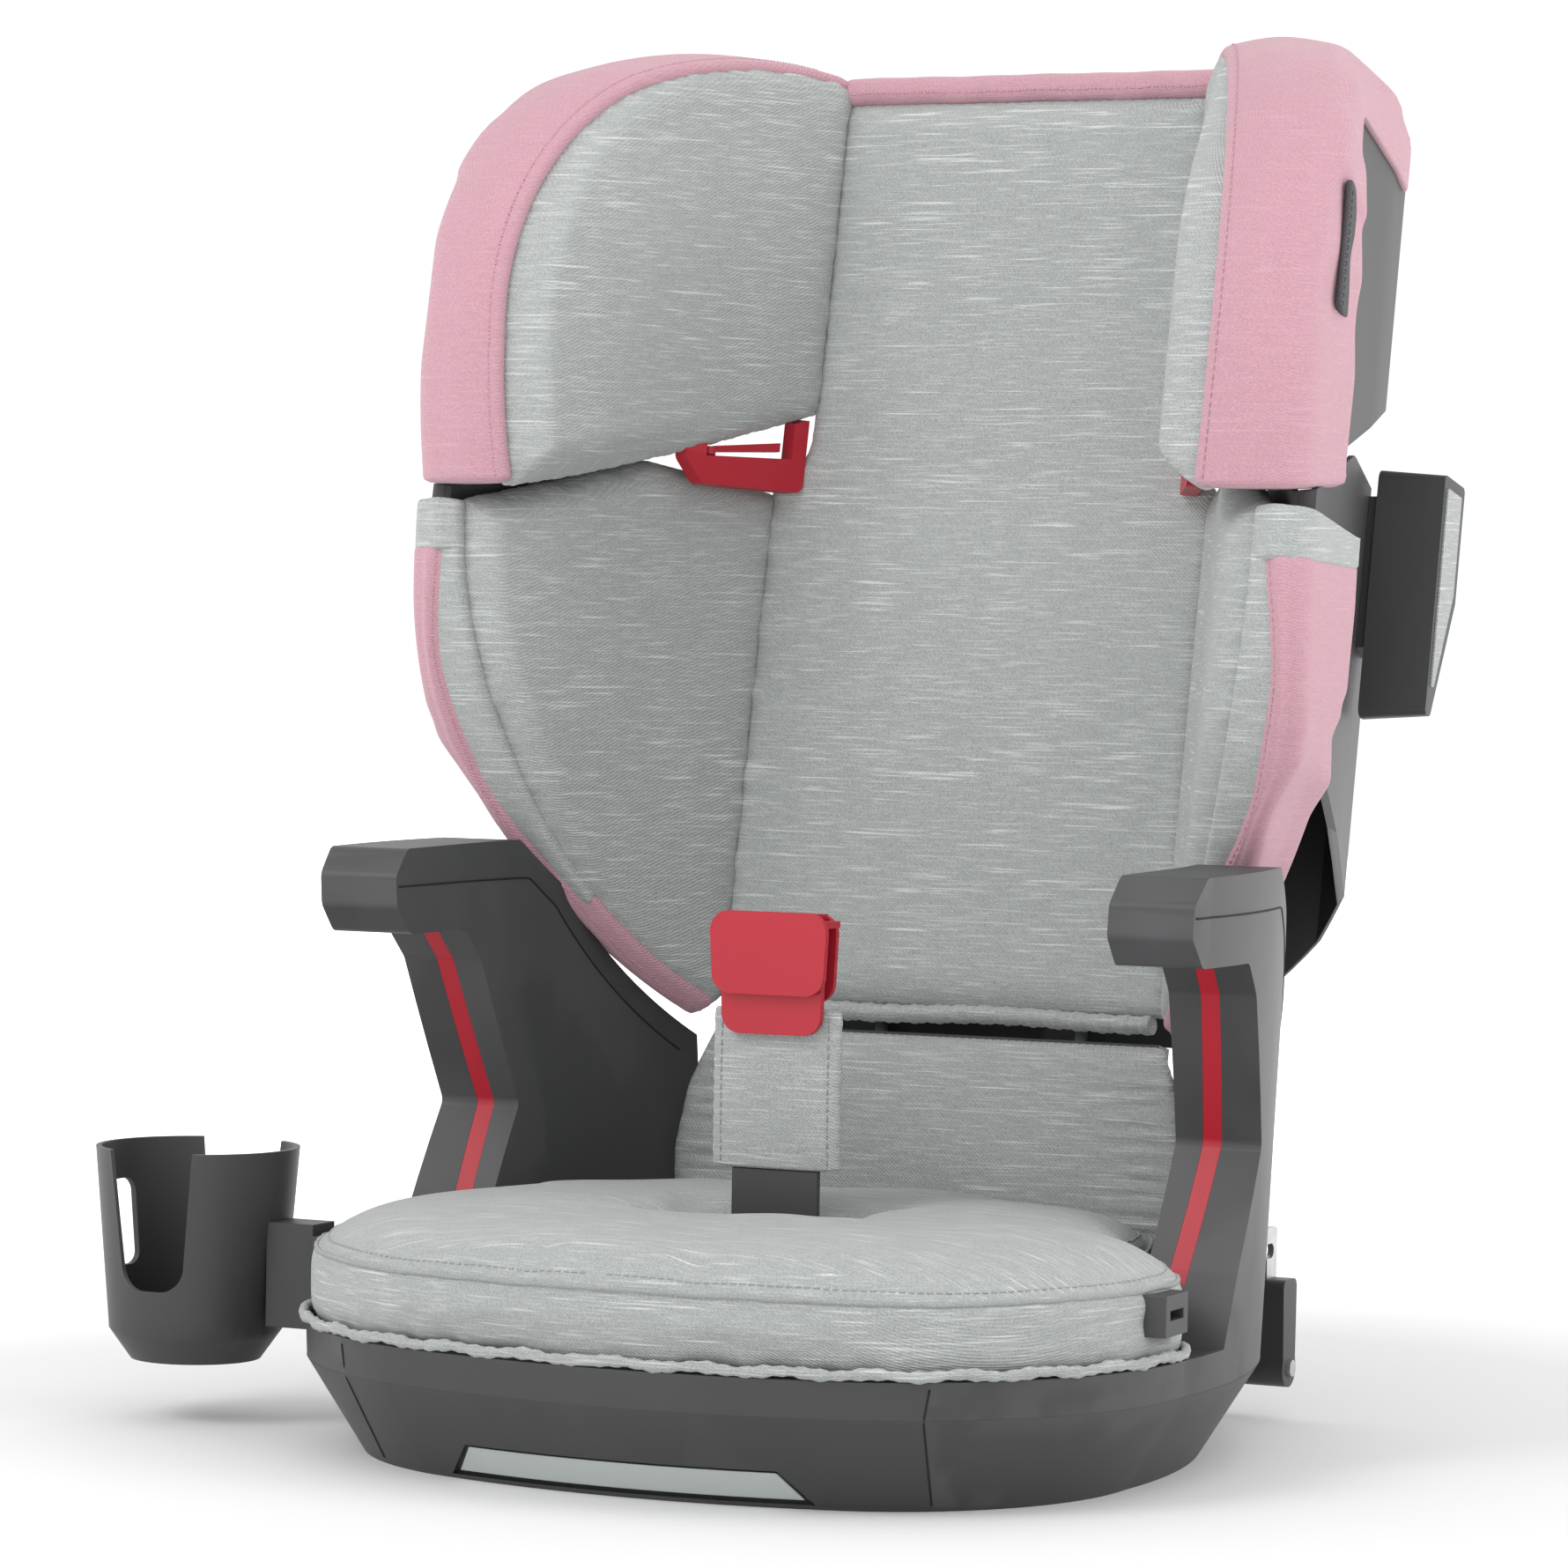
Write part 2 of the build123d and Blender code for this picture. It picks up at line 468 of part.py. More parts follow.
# ---------------------------------------------------------------- accessories
def make_cup_holder():
    """Open cup with a thumb cut and a window, and the bracket whose tongue plugs into the seat."""
    foot = CUP_FLOOR_Z + 14

    def form(inset, floor):
        """Solid of revolution drawn in from the cup's outside by inset."""
        profile = Polyline((0, floor), (CUP_FOOT_RADIUS - 10 - inset, floor), (CUP_FOOT_RADIUS - inset, foot),
                           (CUP_RADIUS - inset, CUP_RIM_Z), (0, CUP_RIM_Z), (0, floor))
        return revolve(make_face(Plane.XZ * profile), Axis.Z)

    cup = Pos(CUP_X, CUP_Y, 0) * (form(0, CUP_FLOOR_Z) - form(CUP_WALL, CUP_FLOOR_Z + CUP_WALL))
    notch_view = rounded(12, (CUP_X - 15, 62), (CUP_X + 15, 62), (CUP_X + 24, 150), (CUP_X - 24, 150))
    window_view = rounded(6, (CUP_Y - 12, 68), (CUP_Y + 12, 68), (CUP_Y + 12, 108), (CUP_Y - 12, 108))
    cup = cup - front_prism(notch_view, -200, 0) - side_prism(window_view, -330, CUP_X)
    inner_x, outer_x = CUP_X + CUP_RADIUS - 1.5, -(CUSHION_ARCS[0][2][0] + 2)
    bracket = box((inner_x - 3, outer_x), (CUP_Y - 10, CUP_Y + 10), (46, 94))
    bracket -= Pos(CUP_X, CUP_Y, 0) * form(0, CUP_FLOOR_Z)
    tongue = box((outer_x - 1, -192), (CUP_Y - 7.5, CUP_Y + 7.5), (SOCKET_Z - 1.8, SOCKET_Z + 1.8))
    return {"cup": cup, "cup_bracket": bracket + tongue}


def clip_plate(widths, heights, depths):
    """Plate of the belt clip: half widths at its foot and top, heights and depths from the strap's middle."""
    foot, top = widths
    low, high = heights
    view = rounded(9, (-foot, low), (foot, low), (top, high), (-top, high))
    return front_prism(view, STRAP_Y + depths[0], STRAP_Y + depths[1])


def make_belt_clip():
    """Strap between the legs: stiff stalk, webbing in a fabric pad, and the red clip for the lap belt."""
    stalk = box((-21, 21), (STRAP_Y - 2, STRAP_Y + 2), (STRAP_Z, PAD_Z[0]))
    stalk += rod(6, (-21, 21), STRAP_Y, STRAP_Z)
    stalk -= rod(3.05, (-40, 40), STRAP_Y, STRAP_Z)
    webbing = box((-22, 22), (STRAP_Y - 1, STRAP_Y + 1), (PAD_Z[0], 228))
    pad = box((-32, 32), (STRAP_Y - 3.6, STRAP_Y + 3.6), PAD_Z) - webbing
    flap = clip_plate((27, 29), (206, CLIP_TOP_Z + 1), (-13, -9.5))
    tongue = clip_plate((24, 26), (188, CLIP_TOP_Z), (-8.5, -5))
    leaf = clip_plate((24, 26), (202, CLIP_TOP_Z), (5, 8))
    bridge = box((-20, 20), (STRAP_Y - 13, STRAP_Y + 8), (CLIP_TOP_Z - 6, CLIP_TOP_Z))
    bridge += box((-26, 26), (STRAP_Y - 13, STRAP_Y + 8), (CLIP_TOP_Z - 6, CLIP_TOP_Z - 3))
    bridge -= box((-23, 23), (STRAP_Y - 1.5, STRAP_Y + 1.5), (230, 250))
    clip = flap + tongue + leaf + bridge
    return {"strap_stalk": stalk, "strap_webbing": webbing, "strap_pad": pad, "belt_clip": clip}


def make_pod():
    """Side-impact pod: hollow housing on a spigot, its outer panel and its release button."""
    outline = make_face(Plane.YZ * rounded(5, *POD_OUTLINE))
    body = Pos(DOCK_X + GAP, 0, 0) * extrude(outline, amount=POD_DEPTH, taper=4)
    inside = extrude(offset(outline, -SKIN), amount=POD_DEPTH - 2 * SKIN, taper=4)
    inside = Pos(DOCK_X + GAP + SKIN, 0, 0) * inside
    panel_view = [(-1, 346), (19, 346), (19, 299), (2, 252), (-1, 252)]
    outer_x = DOCK_X + GAP + POD_DEPTH
    panel = side_prism(rounded(1.4, *panel_view), outer_x - 1.5, outer_x + 0.8)
    button = peg(6, DOCK_X + 14, (DOCK_Y + 12, DOCK_Y + 21), 330)
    spigot = rod(7.9, (DOCK_X - 4.5, DOCK_X + GAP + 1), DOCK_Y, DOCK_Z)
    housing = body + spigot - inside - panel - peg(6.1, DOCK_X + 14, (DOCK_Y + 5, DOCK_Y + 30), 330)
    parts = {"pod_housing": housing, "pod_panel": panel, "pod_button": button}
    return {name: lean(shape) for name, shape in parts.items()}


def make_connector():
    """Lower-anchor connector on +X: housing that turns on the bar, steel hook and release button."""
    x0, x1 = CONNECTOR_X
    middle = (x0 + x1) / 2
    foot_z, top_z = BAR_Z, BAR_Z + 42
    view = rounded(4, (BAR_Y - 8, foot_z), (BAR_Y + 8, foot_z), (BAR_Y + 9, top_z), (BAR_Y - 9, top_z))
    housing = side_prism(view, x0, x1) + rod(9, CONNECTOR_X, BAR_Y, BAR_Z)
    hook_view = rounded(2.5, (BAR_Y - 6, BAR_Z + 18), (BAR_Y + 6, BAR_Z + 18), (BAR_Y + 7, BAR_Z + 66),
                        (BAR_Y - 7, BAR_Z + 66))
    hook = side_prism(hook_view, middle - 1.5, middle + 1.5)
    hook -= rod(3.4, (middle - 5, middle + 5), BAR_Y - 1, BAR_Z + 55)
    hook -= box((middle - 5, middle + 5), (BAR_Y - 12, BAR_Y - 1), (BAR_Z + 51.6, BAR_Z + 58.4))
    pocket = box((middle - 6, middle + 6), (BAR_Y + 4, BAR_Y + 12), (BAR_Z + 12, BAR_Z + 34))
    button = box((middle - 5.9, middle + 5.9), (BAR_Y + 4.5 + 1.7, BAR_Y + 10.5), (BAR_Z + 12.5, BAR_Z + 28))
    hook &= box((0, 300), (0, BAR_Y + 6.1), (0, 300)) + box((0, 300), (0, 300), (BAR_Z + 36, 300))
    housing = housing - hook - pocket - rod(BAR_RADIUS + 0.05, (0, 300), BAR_Y, BAR_Z)
    hook -= pocket
    return {"connector": housing, "hook": hook, "connector_button": button}


def make_accessories():
    parts = {**make_cup_holder(), **make_belt_clip(), **make_pod()}
    for name, shape in make_connector().items():
        parts[f"{name}_left"] = shape
        parts[f"{name}_right"] = other_side(shape)
    return parts


if __name__ == "__main__":
    os.makedirs("parts", exist_ok=True)
    everything = {**make_base(), **make_backrest(), **make_headrest(), **make_accessories()}
    for name, shape in everything.items():
        export_step(shape, f"parts/{name}.step")
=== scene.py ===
"""Looks of the high-back booster seat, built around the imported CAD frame. Metres, same frame as the CAD."""
import bpy
import json
from math import cos, pi, radians, sin
from mathutils import Matrix, Vector
from mathutils.bvhtree import BVHTree
from mathutils.geometry import delaunay_2d_cdt
from mathutils.kdtree import KDTree


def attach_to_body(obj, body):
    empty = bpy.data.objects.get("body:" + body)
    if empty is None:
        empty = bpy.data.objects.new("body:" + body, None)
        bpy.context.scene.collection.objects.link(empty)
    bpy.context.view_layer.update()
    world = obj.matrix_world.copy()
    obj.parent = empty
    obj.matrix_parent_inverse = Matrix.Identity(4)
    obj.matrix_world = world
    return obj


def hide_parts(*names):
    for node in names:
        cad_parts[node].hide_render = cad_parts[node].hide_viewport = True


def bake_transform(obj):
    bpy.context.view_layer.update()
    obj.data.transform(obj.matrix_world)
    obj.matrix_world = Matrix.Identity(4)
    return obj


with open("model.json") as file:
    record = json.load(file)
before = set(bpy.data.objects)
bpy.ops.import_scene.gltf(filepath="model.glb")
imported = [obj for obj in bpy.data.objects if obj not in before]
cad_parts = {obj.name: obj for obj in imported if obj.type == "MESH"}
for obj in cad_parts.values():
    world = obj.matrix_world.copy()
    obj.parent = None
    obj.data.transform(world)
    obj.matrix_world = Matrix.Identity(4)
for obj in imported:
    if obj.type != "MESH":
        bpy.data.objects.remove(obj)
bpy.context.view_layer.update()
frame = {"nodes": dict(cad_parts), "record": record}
MM = 0.001

# ---------------------------------------------------------------- backrest frame
LEAN = radians(12)
BACK_FOOT = Vector((0, 84, 100))            # foot of the padded back, millimetres
REARWARD = Vector((0, cos(LEAN), -sin(LEAN)))
UPWARD = Vector((0, sin(LEAN), cos(LEAN)))

# Front edges of the wings as arcs (start, middle, end) of (rearward, up), in backrest-frame millimetres
TORSO_EDGE = [((0, 84), (-70, 123), (-122, 184)), ((-122, 184), (-150, 240), (-162, 303))]
HEAD_EDGE = [((-168, 306), (-176.5, 340), (-181, 375)), ((-181, 375), (-168, 460), (-120, 518)),
             ((-120, 518), (-62, 544), (0, 553))]
# Rounded corners of the front view, as arcs of (x, up)
TORSO_SIDE = ((105, 84), (157, 122), (198, 180))
HEAD_CORNER = ((223, 476), (198, 515), (138, 554))


def back(x, y, z):
    """Point in metres from backrest-frame millimetres: x to the side, y rearward, z up the back."""
    return (Vector((x, 0, 0)) + BACK_FOOT + REARWARD * y + UPWARD * z) * MM


# ---------------------------------------------------------------- shader helpers
class Shader:
    """Small wrapper that makes and links the nodes of one material."""

    def __init__(self, name):
        self.material = bpy.data.materials.new(name)
        self.material.use_nodes = True
        self.tree = self.material.node_tree
        self.bsdf = self.tree.nodes["Principled BSDF"]

    def node(self, kind, inputs=None, **settings):
        node = self.tree.nodes.new(kind)
        for key, value in settings.items():
            setattr(node, key, value)
        for key, value in (inputs or {}).items():
            self.put(node.inputs[key], value)
        return node

    def put(self, socket, value):
        if isinstance(value, bpy.types.NodeSocket):
            self.tree.links.new(value, socket)
        else:
            socket.default_value = value

    def math(self, operation, a, b=0.0, c=0.0):
        node = self.node("ShaderNodeMath", operation=operation)
        for socket, value in zip(node.inputs, (a, b, c)):
            self.put(socket, value)
        return node.outputs[0]

    def mix(self, share, a, b):
        node = self.node("ShaderNodeMix", data_type="RGBA")
        self.put(node.inputs["Factor"], share)
        self.put(node.inputs["A"], a)
        self.put(node.inputs["B"], b)
        return node.outputs["Result"]

    def ramp(self, value, low, high):
        inputs = {"Value": value, "From Min": low, "From Max": high}
        return self.node("ShaderNodeMapRange", inputs).outputs["Result"]

    def noise(self, vector, scale, detail=2.0, roughness=0.5):
        node = self.node("ShaderNodeTexNoise", {"Vector": vector, "Scale": scale, "Detail": detail,
                                                "Roughness": roughness})
        return node.outputs["Fac"]

    def stretched(self, vector, x, y, z):
        node = self.node("ShaderNodeVectorMath", operation="MULTIPLY")
        self.put(node.inputs[0], vector)
        node.inputs[1].default_value = (x, y, z)
        return node.outputs[0]

    def bump(self, height, distance, strength=1.0, normal=None):
        node = self.node("ShaderNodeBump", {"Height": height, "Distance": distance, "Strength": strength})
        if normal is not None:
            self.put(node.inputs["Normal"], normal)
        return node.outputs["Normal"]


def colour(red, green, blue):
    return (red, green, blue, 1.0)


def twill_lines(shader, position, pitch):
    """Diagonal rib of a twill, 0 to 1, whatever way the cloth faces."""
    split = shader.node("ShaderNodeSeparateXYZ", {"Vector": position})
    across = shader.math("MULTIPLY", shader.math("SUBTRACT", split.outputs["X"], split.outputs["Y"]), 0.75)
    diagonal = shader.math("ADD", across, split.outputs["Z"])
    wave = shader.math("SINE", shader.math("MULTIPLY", diagonal, 2 * pi / pitch))
    return shader.math("MULTIPLY_ADD", wave, 0.5, 0.5)


def slub_streaks(shader, position, length, thickness):
    """Thin broken streaks that run level across upright cloth, and from side to side on level cloth."""
    normal = shader.node("ShaderNodeNewGeometry").outputs["Normal"]
    split = shader.node("ShaderNodeSeparateXYZ", {"Vector": normal})
    level = shader.ramp(shader.math("ABSOLUTE", split.outputs["Z"]), 0.72, 0.8)
    across, fine = 1 / length, 1 / thickness
    upright_map = shader.stretched(position, across, across, fine)
    level_map = shader.stretched(position, across, fine, fine * 0.1)
    fields = [shader.noise(mapped, 1.0, 1.5, 0.5) for mapped in (upright_map, level_map)]
    upright = shader.math("MULTIPLY", fields[0], shader.math("SUBTRACT", 1.0, level))
    return shader.math("ADD", upright, shader.math("MULTIPLY", fields[1], level))


def make_cloth(name, base, pale, deep, slubs):
    """Melange twill: base colour, pale slub yarns, deep yarns between them, rib bump with painted shade in its
    grooves, and a soft sheen.
    """
    shader = Shader(name)
    position = shader.node("ShaderNodeTexCoord").outputs["Object"]
    rib = twill_lines(shader, position, 1.5 * MM)
    streaks = slub_streaks(shader, position, 34 * MM, 1.0 * MM)
    threads = slub_streaks(shader, position, 15 * MM, 0.6 * MM)
    fibres = shader.noise(position, 1500, 2.0)
    cloud = shader.noise(position, 9, 3.0)
    tone = shader.mix(shader.ramp(fibres, 0.35, 0.65), deep, base)
    tone = shader.mix(shader.math("MULTIPLY", shader.ramp(threads, 0.5, 0.3), 0.18), tone, deep)
    tone = shader.mix(shader.math("MULTIPLY", shader.ramp(threads, 0.55, 0.72), slubs * 0.35), tone, pale)
    tone = shader.mix(shader.math("MULTIPLY", shader.ramp(streaks, 0.60, 0.74), slubs * 0.7), tone, pale)
    # Painted shade: the rib's grooves are mixed towards the deep colour.
    tone = shader.mix(shader.math("MULTIPLY", shader.math("SUBTRACT", 1.0, rib), 0.16), tone, deep)
    tone = shader.mix(shader.math("MULTIPLY", shader.ramp(cloud, 0.3, 0.7), 0.10), tone, deep)
    shader.put(shader.bsdf.inputs["Base Color"], tone)
    shader.put(shader.bsdf.inputs["Roughness"], shader.math("MULTIPLY_ADD", fibres, 0.15, 0.78))
    shader.bsdf.inputs["Sheen Weight"].default_value = 0.25
    shader.bsdf.inputs["Sheen Roughness"].default_value = 0.5
    shader.bsdf.inputs["Specular IOR Level"].default_value = 0.2
    wrinkles = shader.bump(shader.noise(position, 26, 2.0), 1.2 * MM, 0.35)
    yarn = shader.bump(shader.math("ADD", rib, shader.math("MULTIPLY", streaks, 1.4)), 0.25 * MM, 0.8, wrinkles)
    shader.put(shader.bsdf.inputs["Normal"], yarn)
    return shader.material


def make_plastic(name, base, flow_and_highlight, roughness, grain=0.06 * MM):
    """Moulded plastic: fine spark-eroded grain, faint flow marks, and a painted highlight that makes convex edges a
    little paler.
    """
    shader = Shader(name)
    position = shader.node("ShaderNodeTexCoord").outputs["Object"]
    grain_field = shader.noise(position, 2200, 2.0)
    flow = shader.noise(shader.stretched(position, 1, 1, 0.4), 14, 3.0)
    pointiness = shader.node("ShaderNodeNewGeometry").outputs["Pointiness"]
    # Painted highlight: convex edges, found from pointiness and broken up by the flow noise, turn towards the paler
    # colour.
    edge = shader.math("MULTIPLY", shader.ramp(pointiness, 0.52, 0.60), shader.ramp(flow, 0.3, 0.7))
    tone = shader.mix(shader.math("MULTIPLY", edge, 0.45), base, flow_and_highlight)
    tone = shader.mix(shader.math("MULTIPLY", shader.ramp(flow, 0.35, 0.75), 0.10), tone, flow_and_highlight)
    shader.put(shader.bsdf.inputs["Base Color"], tone)
    shader.put(shader.bsdf.inputs["Roughness"], shader.math("MULTIPLY_ADD", flow, 0.10, roughness))
    shader.bsdf.inputs["Specular IOR Level"].default_value = 0.45
    shader.put(shader.bsdf.inputs["Normal"], shader.bump(grain_field, grain, 0.5))
    return shader.material


def make_steel(name):
    """Zinc-plated steel with drawn lines along its length and a little mottling."""
    shader = Shader(name)
    position = shader.node("ShaderNodeTexCoord").outputs["Object"]
    lines = shader.noise(shader.stretched(position, 20, 900, 900), 1.0, 3.0)
    mottle = shader.noise(position, 120, 3.0)
    shader.bsdf.inputs["Metallic"].default_value = 1.0
    tone = shader.mix(mottle, colour(0.42, 0.42, 0.43), colour(0.66, 0.66, 0.68))
    shader.put(shader.bsdf.inputs["Base Color"], tone)
    shader.put(shader.bsdf.inputs["Roughness"], shader.math("MULTIPLY_ADD", lines, 0.25, 0.25))
    shader.put(shader.bsdf.inputs["Normal"], shader.bump(lines, 0.05 * MM, 0.4))
    return shader.material


def make_foam(name):
    """Open-celled foam, its cells' hollows darkened with painted shade, so that their walls look paler."""
    shader = Shader(name)
    position = shader.node("ShaderNodeTexCoord").outputs["Object"]
    cells = shader.node("ShaderNodeTexVoronoi", {"Vector": position, "Scale": 900}).outputs["Distance"]
    # Painted shade: darker towards the middle of each cell, where the foam is hollow.
    tone = shader.mix(cells, colour(0.45, 0.45, 0.42), colour(0.72, 0.72, 0.68))
    shader.put(shader.bsdf.inputs["Base Color"], tone)
    shader.bsdf.inputs["Roughness"].default_value = 0.95
    shader.put(shader.bsdf.inputs["Normal"], shader.bump(cells, 0.4 * MM))
    return shader.material


def make_webbing(name, base, pale):
    """Tightly woven tape with a crosswise rib, its raised weave painted paler as a highlight and its hollows darker
    as shade.
    """
    shader = Shader(name)
    position = shader.node("ShaderNodeTexCoord").outputs["Object"]
    split = shader.node("ShaderNodeSeparateXYZ", {"Vector": position})
    ribs = shader.math("SINE", shader.math("MULTIPLY", split.outputs["Z"], 2 * pi / (1.8 * MM)))
    warp = shader.math("SINE", shader.math("MULTIPLY", split.outputs["X"], 2 * pi / (1.2 * MM)))
    weave = shader.math("MULTIPLY_ADD", shader.math("MULTIPLY", ribs, warp), 0.5, 0.5)
    # Painted highlight and shade: the raised weave takes the paler colour, its hollows the darker one.
    shader.put(shader.bsdf.inputs["Base Color"], shader.mix(weave, base, pale))
    shader.bsdf.inputs["Roughness"].default_value = 0.8
    shader.put(shader.bsdf.inputs["Normal"], shader.bump(weave, 0.3 * MM))
    return shader.material


GREY_CLOTH = make_cloth("grey_cloth", colour(0.42, 0.44, 0.435), colour(0.82, 0.84, 0.83),
                        colour(0.28, 0.295, 0.29), 0.8)
PINK_CLOTH = make_cloth("pink_cloth", colour(0.55, 0.315, 0.365), colour(0.70, 0.50, 0.55),
                        colour(0.44, 0.24, 0.29), 0.25)
PINK_THREAD = make_cloth("pink_thread", colour(0.60, 0.34, 0.40), colour(0.7, 0.5, 0.55),
                         colour(0.42, 0.2, 0.26), 0.2)
GREY_THREAD = make_cloth("grey_thread", colour(0.36, 0.38, 0.38), colour(0.6, 0.6, 0.6),
                         colour(0.25, 0.26, 0.26), 0.2)
DARK_PLASTIC = make_plastic("dark_plastic", colour(0.042, 0.042, 0.044), colour(0.095, 0.095, 0.10), 0.42)
RED_PLASTIC = make_plastic("red_plastic", colour(0.40, 0.008, 0.022), colour(0.52, 0.04, 0.06), 0.38)
PALE_PLASTIC = make_plastic("pale_plastic", colour(0.44, 0.48, 0.47), colour(0.58, 0.62, 0.6), 0.38)
# Near-black for the joint lines: painted shade standing for the dark gap where mouldings meet.
JOINT_SHADE = make_plastic("joint_shade", colour(0.006, 0.006, 0.006), colour(0.012, 0.012, 0.012), 0.7)
STEEL = make_steel("steel")
FOAM = make_foam("foam")
RUBBER = make_plastic("foot_rubber", colour(0.02, 0.02, 0.02), colour(0.05, 0.05, 0.05), 0.75, 0.15 * MM)
WEBBING = make_webbing("webbing", colour(0.035, 0.035, 0.04), colour(0.09, 0.09, 0.095))
BY_SLOT = {"dark_plastic": DARK_PLASTIC, "red_plastic": RED_PLASTIC, "grey_fabric": GREY_CLOTH, "foam": FOAM,
           "pink_fabric": PINK_CLOTH, "steel": STEEL, "pale_insert": PALE_PLASTIC, "foot_rubber": RUBBER,
           "webbing": WEBBING}


# ---------------------------------------------------------------- mesh helpers
SIDES = ((1, "left"), (-1, "right"))
ARC_STEPS = 40
THREAD_RADIUS, STITCH_LENGTH, STITCH_GAP = 0.42 * MM, 2.6 * MM, 1.4 * MM
STITCH_PATH = ((0, -0.5), (0.25, 0.35), (0.75, 0.35), (1, -0.5))      # share of the length, height in radii
OFF_PLUMB = Vector((0.3, 0.1, 1))                                     # never along a cord, so it can frame one


def make_mesh(name, verts, faces):
    mesh = bpy.data.meshes.new(name)
    mesh.from_pydata(verts, [], faces)
    return mesh


def add_object(name, mesh, material):
    piece = bpy.data.objects.new(name, mesh)
    bpy.context.scene.collection.objects.link(piece)
    piece.data.materials.clear()
    piece.data.materials.append(material)
    return piece


def set_smooth(mesh):
    mesh.polygons.foreach_set("use_smooth", [True] * len(mesh.polygons))


def smooth_object(name, verts, faces, material):
    mesh = make_mesh(name, verts, faces)
    set_smooth(mesh)
    return add_object(name, mesh, material)


def merged(meshes):
    """Points and faces of several meshes as one."""
    verts, faces = [], []
    for mesh in meshes:
        start = len(verts)
        verts += [v.co.copy() for v in mesh.vertices]
        faces += [[start + i for i in face.vertices] for face in mesh.polygons]
    return verts, faces


def join_pieces(name, pieces):
    """One object from several that share a material."""
    verts, faces = merged([piece.data for piece in pieces])
    material = pieces[0].data.materials[0]
    for piece in pieces:
        bpy.data.objects.remove(piece)
    return smooth_object(name, verts, faces, material)


def bake(piece):
    """Applies the piece's modifiers to its mesh."""
    bpy.context.view_layer.update()
    graph = bpy.context.evaluated_depsgraph_get()
    mesh = bpy.data.meshes.new_from_object(piece.evaluated_get(graph))
    piece.modifiers.clear()
    piece.data = mesh


def body_of_node(node):
    return next(body for body, nodes in frame["record"]["behaviour"]["bodies"].items() if node in nodes)


def attach(piece, body=None, replaced=()):
    """Ties a piece to the body it rides on and to the CAD nodes it stands for."""
    if body:
        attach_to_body(piece, body)
    if replaced:
        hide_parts(*replaced)
    return piece


def finish_soft(piece, body=None, replaced=()):
    """Rounds a soft piece once more, then attaches it."""
    refine = piece.modifiers.new("refine", "SUBSURF")
    refine.levels = refine.render_levels = 1
    bake(piece)
    set_smooth(piece.data)
    return attach(piece, body, replaced)


def surface_of(piece):
    graph = bpy.context.evaluated_depsgraph_get()
    return BVHTree.FromObject(piece, graph)


def arc_points(start, middle, end, count):
    """Points along the circle through three (a, b) pairs."""
    (ax, ay), (bx, by), (cx, cy) = start, middle, end
    d = 2 * (ax * (by - cy) + bx * (cy - ay) + cx * (ay - by))
    ux = ((ax**2 + ay**2) * (by - cy) + (bx**2 + by**2) * (cy - ay) + (cx**2 + cy**2) * (ay - by)) / d
    uy = ((ax**2 + ay**2) * (cx - bx) + (bx**2 + by**2) * (ax - cx) + (cx**2 + cy**2) * (bx - ax)) / d
    centre = Vector((ux, uy))
    first, mid, last = Vector(start) - centre, Vector(middle) - centre, Vector(end) - centre
    sweep = first.angle_signed(last)
    half = first.angle_signed(mid)
    if sweep * half < 0 or abs(half) > abs(sweep):
        sweep -= 2 * pi * (1 if sweep > 0 else -1)
    return [centre + Matrix.Rotation(-sweep * i / count, 2) @ first for i in range(count + 1)]


def edge_line(arcs):
    """Points along a chain of arcs."""
    return [point for arc in arcs for point in arc_points(*arc, ARC_STEPS)]


def even_points(points, pitch):
    """Points at an even pitch along a polyline."""
    result, left = [points[0].copy()], pitch
    for a, b in zip(points, points[1:]):
        length = (b - a).length
        while left <= length:
            result.append(a.lerp(b, left / length))
            left += pitch
        left -= length
    return result


def even_steps(start, end, count):
    """Numbers from start to end in count equal steps."""
    return [start + (end - start) * k / count for k in range(count + 1)]


def loft(name, rings, material, loop=False):
    """Skin through closed rings of points, capped at both ends unless the rings run round a loop."""
    count = len(rings[0])
    verts = [point for ring in rings for point in ring]
    faces = []
    for i in range(len(rings) if loop else len(rings) - 1):
        after = (i + 1) % len(rings)
        for k in range(count):
            n = (k + 1) % count
            faces.append((i * count + k, i * count + n, after * count + n, after * count + k))
    if not loop:
        faces.append(tuple(range(count - 1, -1, -1)))
        faces.append(tuple((len(rings) - 1) * count + k for k in range(count)))
    return smooth_object(name, verts, faces, material)


def tube(name, points, radius, material, sides=8, closed=False):
    """Round cord along points."""
    rings = []
    last = len(points) - 1
    for i, point in enumerate(points):
        after = points[(i + 1) % len(points)] if closed or i < last else point
        before = points[i - 1] if closed or i > 0 else point
        along = (after - before).normalized()
        side = along.cross(OFF_PLUMB).normalized()
        lift = side.cross(along)
        turns = [2 * pi * k / sides for k in range(sides)]
        rings.append([point + side * (radius * cos(turn)) + lift * (radius * sin(turn)) for turn in turns])
    return loft(name, rings, material, closed)


def stitch_row(name, points, surface, material, body, length=STITCH_LENGTH):
    """Row of topstitches lying on a surface: each is a short thread that dips at both ends."""
    spots = even_points(points, length + STITCH_GAP)
    threads = []
    for a, b in zip(spots, spots[1:]):
        b = a.lerp(b, length / (length + STITCH_GAP))
        thread = []
        for share, height in STITCH_PATH:
            place, normal, _, _ = surface.find_nearest(a.lerp(b, share))
            thread.append(place + normal * THREAD_RADIUS * height)
        threads.append(tube("thread", thread, THREAD_RADIUS, material, sides=5))
    attach(join_pieces(name, threads), body)


def seam_cord(name, points, surface, radius, material, body):
    """Closed seam cord, a little less than half sunk into a surface."""
    places = []
    for point in even_points(points, 4 * MM):
        place, normal, _, _ = surface.find_nearest(point)
        places.append(place + normal * radius * 0.3)
    attach(tube(name, places, radius, material, closed=True), body)


